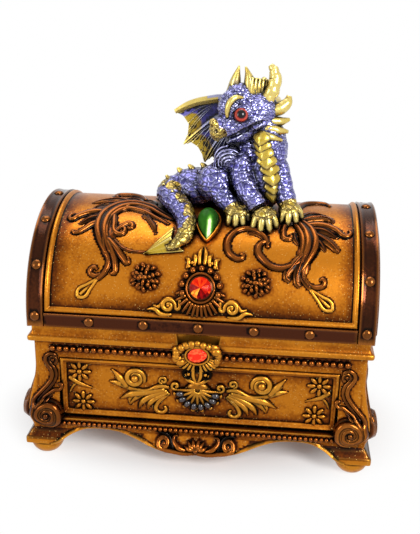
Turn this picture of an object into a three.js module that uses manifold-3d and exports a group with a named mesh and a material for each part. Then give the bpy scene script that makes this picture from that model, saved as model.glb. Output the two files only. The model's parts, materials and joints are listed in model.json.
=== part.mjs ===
// A treasure chest keepsake box of painted cast resin, with a young dragon seated on its barrel lid.
// Millimetres, +Z up, the front faces -Y. The origin is the middle of the footprint, on the ground.
import * as THREE from "three";
import { mergeVertices } from "three/addons/utils/BufferGeometryUtils.js";
import Module from "manifold-3d";

const wasm = await Module();
wasm.setup();

// Clearances
const SEAT_GAP = 0.25; // glue line between two castings
const LID_GAP = 0.4; // between the rim and the closed lid
const PIN_GAP = 0.15; // round a hinge pin, and between two knuckles
const CUT_OVER = 3; // how far a cutting solid runs past what it cuts

// Base walls
const RIM_WIDTH = 140; // rim moulding, along X
const RIM_DEPTH = 86; // rim moulding, along Y
const BASE_HEIGHT = 60; // ground to the top of the rim
const RIM_HEIGHT = 6.6; // rim moulding
const RIM_NOSE = 2.4; // rounded lower edge of the rim
const RIM_COVE = 1.7; // how far the top of the rim draws in
const NECK_INSET = 2.2; // wall under the rim, behind the rim edge
const NECK_HEIGHT = 43; // where the wall starts to swell
const BULGE_OUTSET = 1; // fullest part of the wall, beyond the rim edge
const BULGE_HEIGHT = 20;
const WAIST_INSET = 0.4; // narrowest part of the wall, over the plinth
const WAIST_HEIGHT = 13.4;
const PLINTH_OUTSET = 2.4; // plinth edge beyond the rim edge
const PLINTH_EDGE = 2; // height of the plinth edge
const FOOT_HEIGHT = 7.6; // ground to the underside of the plinth
const FOOT_RADIUS = 6.6;
const FOOT_SWELL = 1.12; // how far the round of a foot would run below the ground it stands on
const FOOT_INSET = 6.9; // foot centre from the plinth edge
const WALL = 5.5; // wall at the neck
const FLOOR_TOP = 19;
const FLOOR_THICKNESS = 4;
const SKIRT_WALL = 7; // skirt under the floor, from the rim edge in
const NOTCH_WIDTH = 16; // finger notch in the rim, under the lid
const NOTCH_DEPTH = 1.6;
const NOTCH_SPLAY = 1.5; // how much each notch end opens out
const LINING_THICKNESS = 1.6;

// Skirt arches
const ARCH_RISE = 14.8; // ground to the top of an arch
const ARCH_STOP = 5.5; // outer end of a front arch from the middle of the foot
const PENDANT_WIDTH = 26; // skirt left standing between the two front arches
const SIDE_ARCH_SPAN = 50;
const ARCH_PULL = 4 / 3; // height of the curve's handles, as a share of its rise

// Wall panels and mouldings
const CORNER_WIDTH = 12.5; // kept at each end of a wall for the corner scroll
const PANEL_LOW_MARGIN = 1.3; // panel above the lower beads
const PANEL_HIGH_MARGIN = 2.9; // panel below the upper beads
const PANEL_INSET = 3.4; // panel face behind the rim edge
const FRAME_WIDTH = 2.6;
const FRAME_RELIEF = 1.9; // frame proud of the panel
const BEAD_DROP = 3.2; // upper bead row below the rim
const BEAD_LIFT = 3; // lower bead row above the waist
const BEAD_RADIUS = 1.3;

// Corner scrolls
const VOLUTE_RADIUS = 7;
const VOLUTE_HEIGHT = 21;
const VOLUTE_INSET = 8.2; // volute centre from the corner
const VOLUTE_RELIEF = 4;
const CURL_RADIUS = 3;
const CURL_DROP = 4.2; // curl below the upper beads
const CURL_INSET = 6.5;
const STEM_RADIUS = 2;

// Front ornaments
const SHELL_WIDTH = 20.6; // escutcheon
const SHELL_HEIGHT = 13;
const SHELL_DROP = 8.8; // middle of the escutcheon below the top of the rim
const SHELL_RELIEF = 2.6;
const SHELL_TAIL = 12.4; // middle of the escutcheon to its lower point
const OVAL_GEM_WIDTH = 8;
const OVAL_GEM_HEIGHT = 6;
const OVAL_GEM_RISE = 1.4;
const OVAL_GEM_LIFT = 1; // stone above the middle of the escutcheon
const PALMETTE_WIDTH = 21;
const PALMETTE_GAP = 0.8; // palmette below the point of the escutcheon
const PALMETTE_FOOT = 5; // palmette above the lower edge of the panel
const PALMETTE_RELIEF = 1.6;
const PANEL_BUD_RADIUS = 4.6;
const PANEL_BUD_RISE = 2.2;
const PANEL_LEAF_RADIUS = 1.3;
const PENDANT_RELIEF = 1.8;

// Lid
const LID_END_STEP = 0.5; // each end of the lid inside the rim edge
const LID_STEP = 1; // front and back of the barrel, without the straps, inside the rim edge
const LID_SPRING = 3; // straight part under the barrel curve
const LID_RISE = 39.6; // barrel curve
const LID_WALL = 4.6;
const STRAP_WIDTH = 7;
const STRAP_THICKNESS = 1.2;
const BAND_HEIGHT = 6;
const RIVET_RADIUS = 2.1;
const RIVET_RISE = 0.9;
const STRAP_RIVETS = 7;
const BAND_RIVETS = 5;
const TRIM_WIDTH = 2.3;
const TRIM_THICKNESS = 1;
const END_INSET = 4.5; // end plate edge inside the strap edge
const END_THICKNESS = 0.9;

// Lid ornaments, placed by X and by the angle up the barrel from the front
const CREST_ANGLE = 23;
const ROUND_GEM_RADIUS = 5;
const ROUND_GEM_RISE = 2;
const CREST_RING = 1.5; // wall round the gem
const CREST_RELIEF = 1.7;
const ROSETTE_RADIUS = 5.8;
const ROSETTE_RELIEF = 2.4;
const ROSETTE_X = 22;
const ROSETTE_ANGLE = 27;
const SPRAY_RADIUS = 1.7;
const DROP_X = 1.2;
const DROP_LEAN = 45; // angle of its face above level
const DROP_WIDTH = 8;
const DROP_LENGTH = 14;
const DROP_RISE = 3;
const DROP_WALL = 1.5;
const DROP_BACK = 21.6; // middle of the stone in front of the lid crown
const DROP_LIFT = 2.6; // middle of the stone above the barrel

// Dragon, placed by X and Y and by the height above the barrel there
const DRAGON_STEP = 1; // one step of the dragon's drawing
const EYE_RADIUS = 2.9;
const HORN_RADIUS = 2.6;
const WING_THICKNESS = 1.6;
const TAIL_RADIUS = 4.8;
const TAIL_ANGLE = 43; // leaf at the end of the tail, up the barrel from the front
const LEG_RADIUS = 4.6;

// Hinges
const LEAF_WIDTH = 15;
const LEAF_THICKNESS = 0.9;
const LEAF_HEIGHT = 3.4;
const LEAF_INSET = 2.3; // back of the leaves inside the rim edge
const KNUCKLE_RADIUS = 1.7;
const PIN_RADIUS = 0.85;
const PIN_HEAD_RADIUS = 1.3;
const PIN_HEAD = 0.6;
const SCREW_RADIUS = 0.5;
const SCREW_HEAD_RADIUS = 1;
const SCREW_HEAD = 0.5;
const SCREW_LENGTH = 3.4;
const SCREW_SPREAD = 8.4; // between the two screws of a leaf

// Smoothness
const BARREL_SEGMENTS = 20;
const ARCH_SEGMENTS = 8;
const ROUND_SIDES = 12;
const BALL_SIDES = 10;
const BOSS_SIDES = 8;
const LIMB_SIDES = 7;
const LIMB_STEPS = 5;
const STROKE_SIDES = 5;
const STROKE_STEPS = 5;
const OGEE_STEPS = 4;

// Sizes that follow from those above
const HALF_X = RIM_WIDTH / 2;
const HALF_Y = RIM_DEPTH / 2;
const RIM_BOTTOM = BASE_HEIGHT - RIM_HEIGHT;
const FOOT_X = HALF_X + PLINTH_OUTSET - FOOT_INSET;
const FOOT_Y = HALF_Y + PLINTH_OUTSET - FOOT_INSET;
const UPPER_BEADS = RIM_BOTTOM - BEAD_DROP;
const LOWER_BEADS = WAIST_HEIGHT + BEAD_LIFT;
const CURL_HEIGHT = UPPER_BEADS - CURL_DROP;
const SHELL_MIDDLE = BASE_HEIGHT - SHELL_DROP;
const SHELL_POINT = SHELL_MIDDLE - SHELL_TAIL;
const CAVITY_X = HALF_X - NECK_INSET - WALL;
const CAVITY_Y = HALF_Y - NECK_INSET - WALL;
const PANEL_X = HALF_X - CORNER_WIDTH;
const PANEL_BOTTOM = LOWER_BEADS + BEAD_RADIUS + PANEL_LOW_MARGIN;
const PANEL_TOP = UPPER_BEADS - BEAD_RADIUS - PANEL_HIGH_MARGIN;
const PANEL_Y = HALF_Y - PANEL_INSET;
const PALMETTE_TOP = SHELL_POINT - PALMETTE_GAP;
const PALMETTE_BOTTOM = PANEL_BOTTOM + PALMETTE_FOOT;
const LID_BOTTOM = BASE_HEIGHT + LID_GAP;
const SPRING_Z = LID_BOTTOM + LID_SPRING;
const CROWN_Z = SPRING_Z + LID_RISE;
const LID_WIDTH = RIM_WIDTH - 2 * LID_END_STEP;
const LID_Y = HALF_Y - LID_STEP;
const STRAP_GROW = SEAT_GAP + STRAP_THICKNESS;
const BAND_TOP = LID_BOTTOM + BAND_HEIGHT;
const STRAP_INNER_X = LID_WIDTH / 2 - STRAP_WIDTH;
const RIVET_PITCH = (LID_WIDTH - STRAP_WIDTH) / (BAND_RIVETS + 1);
const HINGE_X = RIVET_PITCH * 1.5; // between two rivets of the back band
const LEAF_BACK = HALF_Y - LEAF_INSET;
const HINGE_Y = LEAF_BACK + SEAT_GAP + LEAF_THICKNESS + KNUCKLE_RADIUS / 2;
const HINGE_Z = BASE_HEIGHT + LID_GAP / 2;
const BORE_RADIUS = PIN_RADIUS + PIN_GAP;

const PAINTS = {
  gold: { color: 0xb87a24, roughness: 0.4, metalness: 0.5 },
  dark: { color: 0x3a1d12, roughness: 0.3, metalness: 0.2 },
  brass: { color: 0xb08d45, roughness: 0.35, metalness: 0.9 },
  felt: { color: 0x4a0f18, roughness: 0.95, metalness: 0 },
  red: { color: 0xc01010, roughness: 0.05, metalness: 0 },
  green: { color: 0x2f9a3c, roughness: 0.1, metalness: 0 },
  blue: { color: 0x5058a8, roughness: 0.4, metalness: 0.5 },
  amber: { color: 0xb03a1c, roughness: 0.05, metalness: 0 },
};

const chest = new THREE.Group();
chest.name = "dragon_treasure_chest";

// Vectors, solids and meshes
function vec(x, y, z) {
  return new THREE.Vector3(x, y, z);
}

function radians(degrees) {
  return THREE.MathUtils.degToRad(degrees);
}

function solidOf(geometry) {
  const bare = geometry.clone();
  bare.deleteAttribute("normal");
  bare.deleteAttribute("uv");
  const merged = mergeVertices(bare, 1e-4);
  return new wasm.Manifold(new wasm.Mesh({
    numProp: 3,
    vertProperties: new Float32Array(merged.attributes.position.array),
    triVerts: new Uint32Array(merged.index.array),
  }));
}

function geometryOf(solid) {
  const mesh = solid.getMesh();
  const geometry = new THREE.BufferGeometry();
  geometry.setAttribute("position", new THREE.BufferAttribute(new Float32Array(mesh.vertProperties), 3));
  geometry.setIndex(new THREE.BufferAttribute(new Uint32Array(mesh.triVerts), 1));
  const faceted = geometry.toNonIndexed();
  faceted.computeVertexNormals();
  return faceted;
}

function joined(solids) {
  return solids.reduce((sum, next) => sum.add(next));
}

function addPiece(name, solid, paint, scale = [1, 1, 1]) {
  const mesh = new THREE.Mesh(geometryOf(solid), new THREE.MeshStandardMaterial(PAINTS[paint]));
  mesh.name = name;
  mesh.scale.set(...scale);
  chest.add(mesh);
}

// The main body of a solid, without crumbs that a cut left beside it
function main(solid) {
  return solid.decompose().sort((a, b) => b.volume() - a.volume())[0];
}

function turned(solid, degrees) {
  const geometry = geometryOf(solid);
  geometry.rotateZ(radians(degrees));
  return solidOf(geometry);
}

// Rings of points joined into one closed skin; each ring turns counter-clockwise about the way they go
function loft(rings) {
  const count = rings[0].length;
  const last = (rings.length - 1) * count;
  const faces = [];
  for (let start = 0; start < last; start += count) {
    for (let i = 0; i < count; i += 1) {
      const a = start + i;
      const b = start + ((i + 1) % count);
      faces.push(a, b, b + count, a, b + count, a + count);
    }
  }
  for (let i = 1; i + 1 < count; i += 1) {
    faces.push(0, i + 1, i);
    faces.push(last, last + i, last + i + 1);
  }
  const geometry = new THREE.BufferGeometry().setFromPoints(rings.flat());
  geometry.setIndex(faces);
  return geometry;
}

// A stack of rectangles, each given by how far it stands out and its height, so the corners are mitred
function mitred(halfX, halfY, stations) {
  const rings = stations.map(([out, z]) => [
    vec(-halfX - out, -halfY - out, z),
    vec(halfX + out, -halfY - out, z),
    vec(halfX + out, halfY + out, z),
    vec(-halfX - out, halfY + out, z),
  ]);
  return solidOf(loft(rings));
}

function block(x0, x1, y0, y1, z0, z1) {
  const geometry = new THREE.BoxGeometry(x1 - x0, y1 - y0, z1 - z0);
  geometry.translate((x0 + x1) / 2, (y0 + y1) / 2, (z0 + z1) / 2);
  return solidOf(geometry);
}

// A tapering round rod along a smooth curve; the radii are spread evenly along it
function rod(points, radii, sides, steps) {
  const path = new THREE.CatmullRomCurve3(points.map((point) => vec(...point)));
  const frames = path.computeFrenetFrames(steps, false);
  const rings = [];
  for (let s = 0; s <= steps; s += 1) {
    const place = (s / steps) * (radii.length - 1);
    const from = Math.min(Math.floor(place), radii.length - 2);
    const radius = THREE.MathUtils.lerp(radii[from], radii[from + 1], place - from);
    const middle = path.getPointAt(s / steps);
    const ring = [];
    for (let i = 0; i < sides; i += 1) {
      const angle = (2 * Math.PI * i) / sides;
      const across = frames.normals[s].clone().multiplyScalar(radius * Math.cos(angle));
      const along = frames.binormals[s].clone().multiplyScalar(radius * Math.sin(angle));
      ring.push(middle.clone().add(across).add(along));
    }
    rings.push(ring);
  }
  return solidOf(loft(rings));
}

function limb(points, radii) {
  return rod(points, radii, LIMB_SIDES, LIMB_STEPS);
}

function ball(middle, radii) {
  const geometry = new THREE.SphereGeometry(1, BALL_SIDES, BALL_SIDES * 0.6);
  geometry.rotateX(Math.PI / 2);
  geometry.scale(...radii);
  geometry.translate(...middle);
  return solidOf(geometry);
}

// A squashed ball lying on a surface: wide and tall along the surface, and standing out from it
function boss(seat, wide, tall, rise) {
  const geometry = new THREE.SphereGeometry(1, BOSS_SIDES, BOSS_SIDES / 2);
  geometry.scale(wide, tall, rise);
  geometry.applyMatrix4(seat);
  return solidOf(geometry);
}

// A round post along X
function post(radius, x0, x1, y, z) {
  const geometry = new THREE.CylinderGeometry(radius, radius, x1 - x0, ROUND_SIDES);
  geometry.rotateZ(Math.PI / 2);
  geometry.translate((x0 + x1) / 2, y, z);
  return solidOf(geometry);
}

// An outline in Y and Z drawn out along X
function alongX(shape, x0, x1) {
  const options = { depth: x1 - x0, bevelEnabled: false, curveSegments: BARREL_SEGMENTS };
  const geometry = new THREE.ExtrudeGeometry(shape, options);
  geometry.rotateX(Math.PI / 2);
  geometry.rotateZ(Math.PI / 2);
  geometry.translate(x0, 0, 0);
  return solidOf(geometry);
}

// An outline in X and Z drawn out along Y
function alongY(shape, y0, y1) {
  const options = { depth: y1 - y0, bevelEnabled: false, curveSegments: ARCH_SEGMENTS };
  const geometry = new THREE.ExtrudeGeometry(shape, options);
  geometry.rotateX(Math.PI / 2);
  geometry.translate(0, y1, 0);
  return solidOf(geometry);
}

// Where an ornament sits: its own X, Y and Z become across, up and out of the surface
function seatAt(point, across, up, out) {
  return new THREE.Matrix4().makeBasis(across, up, out).setPosition(point);
}

function frontSeat(x, z, y) {
  return seatAt(vec(x, y, z), vec(1, 0, 0), vec(0, 0, 1), vec(0, -1, 0));
}

function barrelPoint(x, degrees) {
  const angle = radians(degrees);
  return vec(x, -LID_Y * Math.cos(angle), SPRING_Z + LID_RISE * Math.sin(angle));
}

function lidHeight(y) {
  return SPRING_Z + LID_RISE * Math.sqrt(1 - (y / LID_Y) ** 2);
}

function barrelSeat(x, degrees, grow = 0) {
  const angle = radians(degrees);
  const out = vec(0, -Math.cos(angle) / LID_Y, Math.sin(angle) / LID_RISE).normalize();
  const across = vec(1, 0, 0);
  const up = out.clone().cross(across);
  return seatAt(barrelPoint(x, degrees).addScaledVector(out, grow), across, up, out);
}

// Base walls
function ease(from, to, share) {
  return from + ((to - from) * (1 - Math.cos(Math.PI * share))) / 2;
}

function wallOutset(z) {
  if (z < BULGE_HEIGHT) {
    return ease(-WAIST_INSET, BULGE_OUTSET, Math.max(z - WAIST_HEIGHT, 0) / (BULGE_HEIGHT - WAIST_HEIGHT));
  }
  const share = Math.min((z - BULGE_HEIGHT) / (NECK_HEIGHT - BULGE_HEIGHT), 1);
  return ease(BULGE_OUTSET, -NECK_INSET, share);
}

function wallStations(grow) {
  const stations = [];
  for (let i = 0; i < OGEE_STEPS; i += 1) {
    stations.push(THREE.MathUtils.lerp(WAIST_HEIGHT, BULGE_HEIGHT, i / OGEE_STEPS));
  }
  for (let i = 0; i <= OGEE_STEPS; i += 1) {
    stations.push(THREE.MathUtils.lerp(BULGE_HEIGHT, NECK_HEIGHT, i / OGEE_STEPS));
  }
  stations.push(RIM_BOTTOM);
  return stations.map((z) => [wallOutset(z) + grow, z]);
}

function baseOutside() {
  const plinth = [
    [PLINTH_OUTSET, FOOT_HEIGHT],
    [PLINTH_OUTSET, FOOT_HEIGHT + PLINTH_EDGE],
  ];
  const rim = [
    [-RIM_NOSE / 4, RIM_BOTTOM],
    [0, RIM_BOTTOM + RIM_NOSE / 3],
    [0, RIM_BOTTOM + RIM_NOSE],
    [-RIM_COVE, RIM_BOTTOM + RIM_NOSE * 1.5],
    [-RIM_COVE, BASE_HEIGHT],
  ];
  return mitred(HALF_X, HALF_Y, [...plinth, ...wallStations(0), ...rim]);
}

// The space under the skirt between two places, rising to an arch
function archShape(from, to) {
  const width = to - from;
  const pull = FOOT_HEIGHT + (ARCH_RISE - FOOT_HEIGHT) * ARCH_PULL;
  const shape = new THREE.Shape();
  shape.moveTo(from, -CUT_OVER);
  shape.lineTo(from, FOOT_HEIGHT);
  shape.bezierCurveTo(from + width * 0.2, pull, from + width * 0.55, pull, to, FOOT_HEIGHT);
  shape.lineTo(to, -CUT_OVER);
  return shape;
}

function underside() {
  const inner = PENDANT_WIDTH / 2;
  const outer = FOOT_X - ARCH_STOP;
  const reach = HALF_Y + PLINTH_OUTSET + CUT_OVER;
  const left = alongY(archShape(-outer, -inner), -reach, reach);
  const right = alongY(archShape(outer, inner), -reach, reach);
  const hollow = block(
    SKIRT_WALL - HALF_X, HALF_X - SKIRT_WALL, SKIRT_WALL - HALF_Y, HALF_Y - SKIRT_WALL,
    -CUT_OVER, FLOOR_TOP - FLOOR_THICKNESS,
  );
  return joined([left, right, hollow, sideArch()]);
}

function sideArch() {
  const reach = HALF_X + PLINTH_OUTSET + CUT_OVER;
  const half = SIDE_ARCH_SPAN / 2;
  const shape = new THREE.Shape();
  shape.moveTo(-half, -CUT_OVER);
  shape.lineTo(half, -CUT_OVER);
  shape.lineTo(half, FOOT_HEIGHT);
  const pull = FOOT_HEIGHT + (ARCH_RISE - FOOT_HEIGHT) * ARCH_PULL;
  shape.bezierCurveTo(half * 0.6, pull, -half * 0.6, pull, -half, FOOT_HEIGHT);
  return alongX(shape, -reach, reach);
}

function feet() {
  const ground = block(-HALF_X * 2, HALF_X * 2, -HALF_Y * 2, HALF_Y * 2, 0, BASE_HEIGHT);
  const rounds = [];
  for (const side of [-1, 1]) {
    for (const end of [-1, 1]) {
      const radii = [FOOT_RADIUS, FOOT_RADIUS, FOOT_HEIGHT * FOOT_SWELL];
      rounds.push(ball([side * FOOT_X, end * FOOT_Y, FOOT_HEIGHT], radii));
    }
  }
  return joined(rounds).intersect(ground);
}

function panelRecesses() {
  const deep = HALF_Y - CORNER_WIDTH;
  const reach = PLINTH_OUTSET + CUT_OVER;
  const cuts = [];
  for (const side of [-1, 1]) {
    const y = [side * PANEL_Y, side * (HALF_Y + reach)].sort((a, b) => a - b);
    const x = [side * (HALF_X - PANEL_INSET), side * (HALF_X + reach)].sort((a, b) => a - b);
    cuts.push(block(-PANEL_X, PANEL_X, y[0], y[1], PANEL_BOTTOM, PANEL_TOP));
    cuts.push(block(x[0], x[1], -deep, deep, PANEL_BOTTOM, PANEL_TOP));
  }
  return joined(cuts);
}

function fingerNotch() {
  const half = NOTCH_WIDTH / 2;
  const y0 = -HALF_Y - CUT_OVER;
  const y1 = -HALF_Y + RIM_COVE + NOTCH_DEPTH;
  const shape = new THREE.Shape();
  shape.moveTo(-half, RIM_BOTTOM + RIM_NOSE / 3);
  shape.lineTo(half, RIM_BOTTOM + RIM_NOSE / 3);
  shape.lineTo(half + NOTCH_SPLAY, BASE_HEIGHT + CUT_OVER);
  shape.lineTo(-half - NOTCH_SPLAY, BASE_HEIGHT + CUT_OVER);
  return alongY(shape, y0, y1);
}

function baseShell() {
  const cavity = block(-CAVITY_X, CAVITY_X, -CAVITY_Y, CAVITY_Y, FLOOR_TOP, BASE_HEIGHT + CUT_OVER);
  const body = baseOutside().subtract(cavity).subtract(underside()).add(feet());
  const trimmed = body.subtract(panelRecesses()).subtract(fingerNotch()).subtract(hingeMortises());
  return trimmed.subtract(screwHoles(SCREW_BASE_Z));
}

function lining() {
  const gap = 2 * SEAT_GAP;
  const z = FLOOR_TOP + SEAT_GAP;
  return block(gap - CAVITY_X, CAVITY_X - gap, gap - CAVITY_Y, CAVITY_Y - gap, z, z + LINING_THICKNESS);
}

// Panel frames and bead rows
function frameShape(half) {
  const outer = half - SEAT_GAP;
  const inner = outer - FRAME_WIDTH;
  const z0 = PANEL_BOTTOM + SEAT_GAP;
  const z1 = PANEL_TOP - SEAT_GAP;
  const shape = rectangle(-outer, outer, z0, z1);
  shape.holes.push(rectangle(-inner, inner, z0 + FRAME_WIDTH, z1 - FRAME_WIDTH));
  return shape;
}

function rectangle(x0, x1, z0, z1) {
  const shape = new THREE.Shape();
  shape.moveTo(x0, z0);
  shape.lineTo(x1, z0);
  shape.lineTo(x1, z1);
  shape.lineTo(x0, z1);
  return shape;
}

function panelFrames() {
  const front = alongY(frameShape(PANEL_X), -PANEL_Y - FRAME_RELIEF, -PANEL_Y - SEAT_GAP);
  addPiece("panel_frame_front", front, "gold");
  addPiece("panel_frame_back", front, "gold", [1, -1, 1]);
  const sideX = HALF_X - PANEL_INSET;
  const side = alongX(frameShape(HALF_Y - CORNER_WIDTH), sideX + SEAT_GAP, sideX + FRAME_RELIEF);
  addPiece("panel_frame_right", side, "gold");
  addPiece("panel_frame_left", side, "gold", [-1, 1, 1]);
}

function beadRing(z, grow) {
  const wall = Math.max(wallOutset(z - BEAD_RADIUS), wallOutset(z + BEAD_RADIUS)) + SEAT_GAP;
  const reach = BEAD_RADIUS + grow;
  const slant = reach * Math.SQRT1_2;
  const outside = mitred(HALF_X, HALF_Y, [
    [wall, z - reach],
    [wall + slant, z - slant],
    [wall + reach, z],
    [wall + slant, z + slant],
    [wall, z + reach],
  ]);
  const halfX = HALF_X + wall - grow;
  const halfY = HALF_Y + wall - grow;
  return outside.subtract(block(-halfX, halfX, -halfY, halfY, z - 2 * reach, z + 2 * reach));
}

// Corner scrolls: a curl under the rim, a stem down the corner and a large volute
function scroll(halfAcross, halfOut) {
  const corner = (z) => halfAcross + wallOutset(z);
  const face = (z) => -(halfOut + wallOutset(z));
  const at = (inset, z) => [inset - corner(z), face(z), z];
  const middle = at(VOLUTE_INSET, VOLUTE_HEIGHT);
  const rimRadius = VOLUTE_RADIUS * 0.86;
  const drum = new THREE.CylinderGeometry(VOLUTE_RADIUS, rimRadius, VOLUTE_RELIEF * 2, ROUND_SIDES);
  drum.translate(...middle);
  const eyeSize = VOLUTE_RADIUS * 0.37;
  const eyeSeat = frontSeat(middle[0], middle[2], middle[1] - VOLUTE_RELIEF);
  const eye = boss(eyeSeat, eyeSize, eyeSize, VOLUTE_RELIEF / 4);
  const stem = rod(
    [
      at(CURL_INSET, CURL_HEIGHT),
      at(CURL_INSET / 2, (CURL_HEIGHT * 2 + VOLUTE_HEIGHT) / 3),
      at(CURL_INSET / 2, (CURL_HEIGHT + VOLUTE_HEIGHT * 2) / 3),
      at(STEM_RADIUS, VOLUTE_HEIGHT + STEM_RADIUS),
    ],
    [0.8, 1, 1.5, 2].map((share) => share * STEM_RADIUS), STROKE_SIDES, STROKE_STEPS,
  );
  const curlAt = at(CURL_INSET, CURL_HEIGHT);
  const curl = boss(frontSeat(curlAt[0], curlAt[2], curlAt[1]), CURL_RADIUS, CURL_RADIUS, VOLUTE_RELIEF / 2);
  const skin = mitred(halfAcross, halfOut, wallStations(SEAT_GAP));
  const raised = joined([solidOf(drum), eye, stem, curl]).subtract(skin);
  return raised.intersect(cornerWedge(halfAcross, halfOut));
}

// The space in front of one face near its left corner, up to the mitre between the two faces
function cornerWedge(halfAcross, halfOut) {
  const shape = new THREE.Shape();
  shape.moveTo(SEAT_GAP + CORNER_WIDTH - halfAcross, CORNER_WIDTH - halfOut);
  shape.lineTo(SEAT_GAP - CORNER_WIDTH - halfAcross, -CORNER_WIDTH - halfOut);
  shape.lineTo(0, -CORNER_WIDTH - halfOut);
  shape.lineTo(0, CORNER_WIDTH - halfOut);
  const options = { depth: RIM_BOTTOM - WAIST_HEIGHT, bevelEnabled: false };
  const geometry = new THREE.ExtrudeGeometry(shape, options);
  geometry.translate(0, 0, WAIST_HEIGHT);
  return solidOf(geometry);
}

function cornerScrolls() {
  const beads = beadRing(UPPER_BEADS, SEAT_GAP).add(beadRing(LOWER_BEADS, SEAT_GAP));
  const front = main(scroll(HALF_X, HALF_Y).subtract(beads));
  addPiece("scroll_front_left", front, "gold");
  addPiece("scroll_front_right", front, "gold", [-1, 1, 1]);
  addPiece("scroll_back_left", front, "gold", [1, -1, 1]);
  addPiece("scroll_back_right", front, "gold", [-1, -1, 1]);
  const side = main(turned(scroll(HALF_Y, HALF_X), 90).subtract(beads));
  addPiece("scroll_right_front", side, "gold");
  addPiece("scroll_right_back", side, "gold", [1, -1, 1]);
  addPiece("scroll_left_front", side, "gold", [-1, 1, 1]);
  addPiece("scroll_left_back", side, "gold", [-1, -1, 1]);
}

// Ornaments on the front of the base
function escutcheon() {
  const beads = HALF_Y - NECK_INSET + SEAT_GAP + BEAD_RADIUS;
  const y = -Math.max(PANEL_Y + FRAME_RELIEF, beads, HALF_Y) - SEAT_GAP;
  const half = SHELL_WIDTH / 2;
  const shell = boss(frontSeat(0, SHELL_MIDDLE, y), half, SHELL_HEIGHT / 2, SHELL_RELIEF);
  const cup = rod(
    [[0, y, SHELL_MIDDLE], [0, y, (SHELL_MIDDLE + SHELL_POINT) / 2], [0, y, SHELL_POINT]],
    [half * 0.6, half * 0.5, 0.6], ROUND_SIDES, LIMB_STEPS,
  );
  const flat = block(-half, half, y - SHELL_RELIEF, y, SHELL_POINT - 1, BASE_HEIGHT);
  const seatY = y - SHELL_RELIEF * 0.5;
  const grown = SEAT_GAP * 2;
  const hole = ovalGem(OVAL_GEM_WIDTH + grown, OVAL_GEM_HEIGHT + grown, seatY + SEAT_GAP, SHELL_RELIEF);
  const body = shell.add(cup).intersect(flat);
  addPiece("escutcheon", body.subtract(hole), "gold");
  addPiece("escutcheon_gem", ovalGem(OVAL_GEM_WIDTH, OVAL_GEM_HEIGHT, seatY, OVAL_GEM_RISE), "red");
}

function ovalGem(width, height, y, rise) {
  const geometry = new THREE.CylinderGeometry(0.6, 1, 1, 10);
  geometry.translate(0, 0.5, 0);
  geometry.scale(width / 2, rise, height / 2);
  geometry.rotateX(Math.PI);
  geometry.translate(0, y, SHELL_MIDDLE + OVAL_GEM_LIFT);
  return solidOf(geometry);
}

// A fan of petals spreading down from a root on the front panel
function palmette() {
  const length = PALMETTE_TOP - PALMETTE_BOTTOM;
  const root = vec(0, -PANEL_Y, PALMETTE_TOP);
  const petals = [];
  for (const turn of [-60, -30, 0, 30, 60]) {
    const reach = length * (1 - Math.abs(turn) / 240) - PALMETTE_RELIEF;
    const tipX = (Math.sin(radians(turn)) * PALMETTE_WIDTH) / 2;
    const tip = [tipX, -PANEL_Y, PALMETTE_TOP - Math.cos(radians(turn)) * reach];
    petals.push(rod(
      [root.toArray(), [tip[0] * 0.6, -PANEL_Y, (root.z + tip[2]) / 2], tip],
      [PALMETTE_RELIEF, PALMETTE_RELIEF * 1.2, PALMETTE_RELIEF], STROKE_SIDES, STROKE_STEPS / 2,
    ));
  }
  return joined(petals).subtract(behindPanel());
}

function behindPanel() {
  return block(-HALF_X, HALF_X, -PANEL_Y - SEAT_GAP, 0, 0, BASE_HEIGHT);
}

// A place on the front panel, in shares of its half width and of its height
function onPanel([across, up]) {
  return [across * PANEL_X, -PANEL_Y, THREE.MathUtils.lerp(PANEL_BOTTOM, PANEL_TOP, up)];
}

function panelStroke(points, radii) {
  const thick = radii.map((share) => share * PANEL_LEAF_RADIUS);
  return rod(points.map(onPanel), thick, STROKE_SIDES, STROKE_STEPS);
}

// Right-hand leaf spray on the front panel: a bud with leaves round it and a scroll towards the middle
function panelSpray() {
  const [budX, budY, budZ] = onPanel([0.452, 0.652]);
  const bud = boss(frontSeat(budX, budZ, budY), PANEL_BUD_RADIUS, PANEL_BUD_RADIUS, PANEL_BUD_RISE);
  const leaves = [
    panelStroke([[0.435, 0.537], [0.557, 0.667], [0.652, 0.815]], [1.5, 1.3, 0.5]),
    panelStroke([[0.417, 0.519], [0.539, 0.533], [0.661, 0.63]], [1.4, 1.2, 0.5]),
    panelStroke([[0.4, 0.519], [0.504, 0.43], [0.591, 0.296]], [1.4, 1.3, 0.5]),
    panelStroke([[0.383, 0.556], [0.417, 0.333], [0.478, 0.207]], [1.5, 1.3, 0.6]),
    panelStroke([[0.47, 0.556], [0.33, 0.481], [0.306, 0.241], [0.252, 0.2]], [1.6, 1.4, 1.2, 1]),
    panelStroke([[0.417, 0.541], [0.313, 0.652], [0.243, 0.726]], [1.5, 1.3, 0.9]),
  ];
  return joined([bud, ...leaves]).subtract(behindPanel());
}

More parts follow.
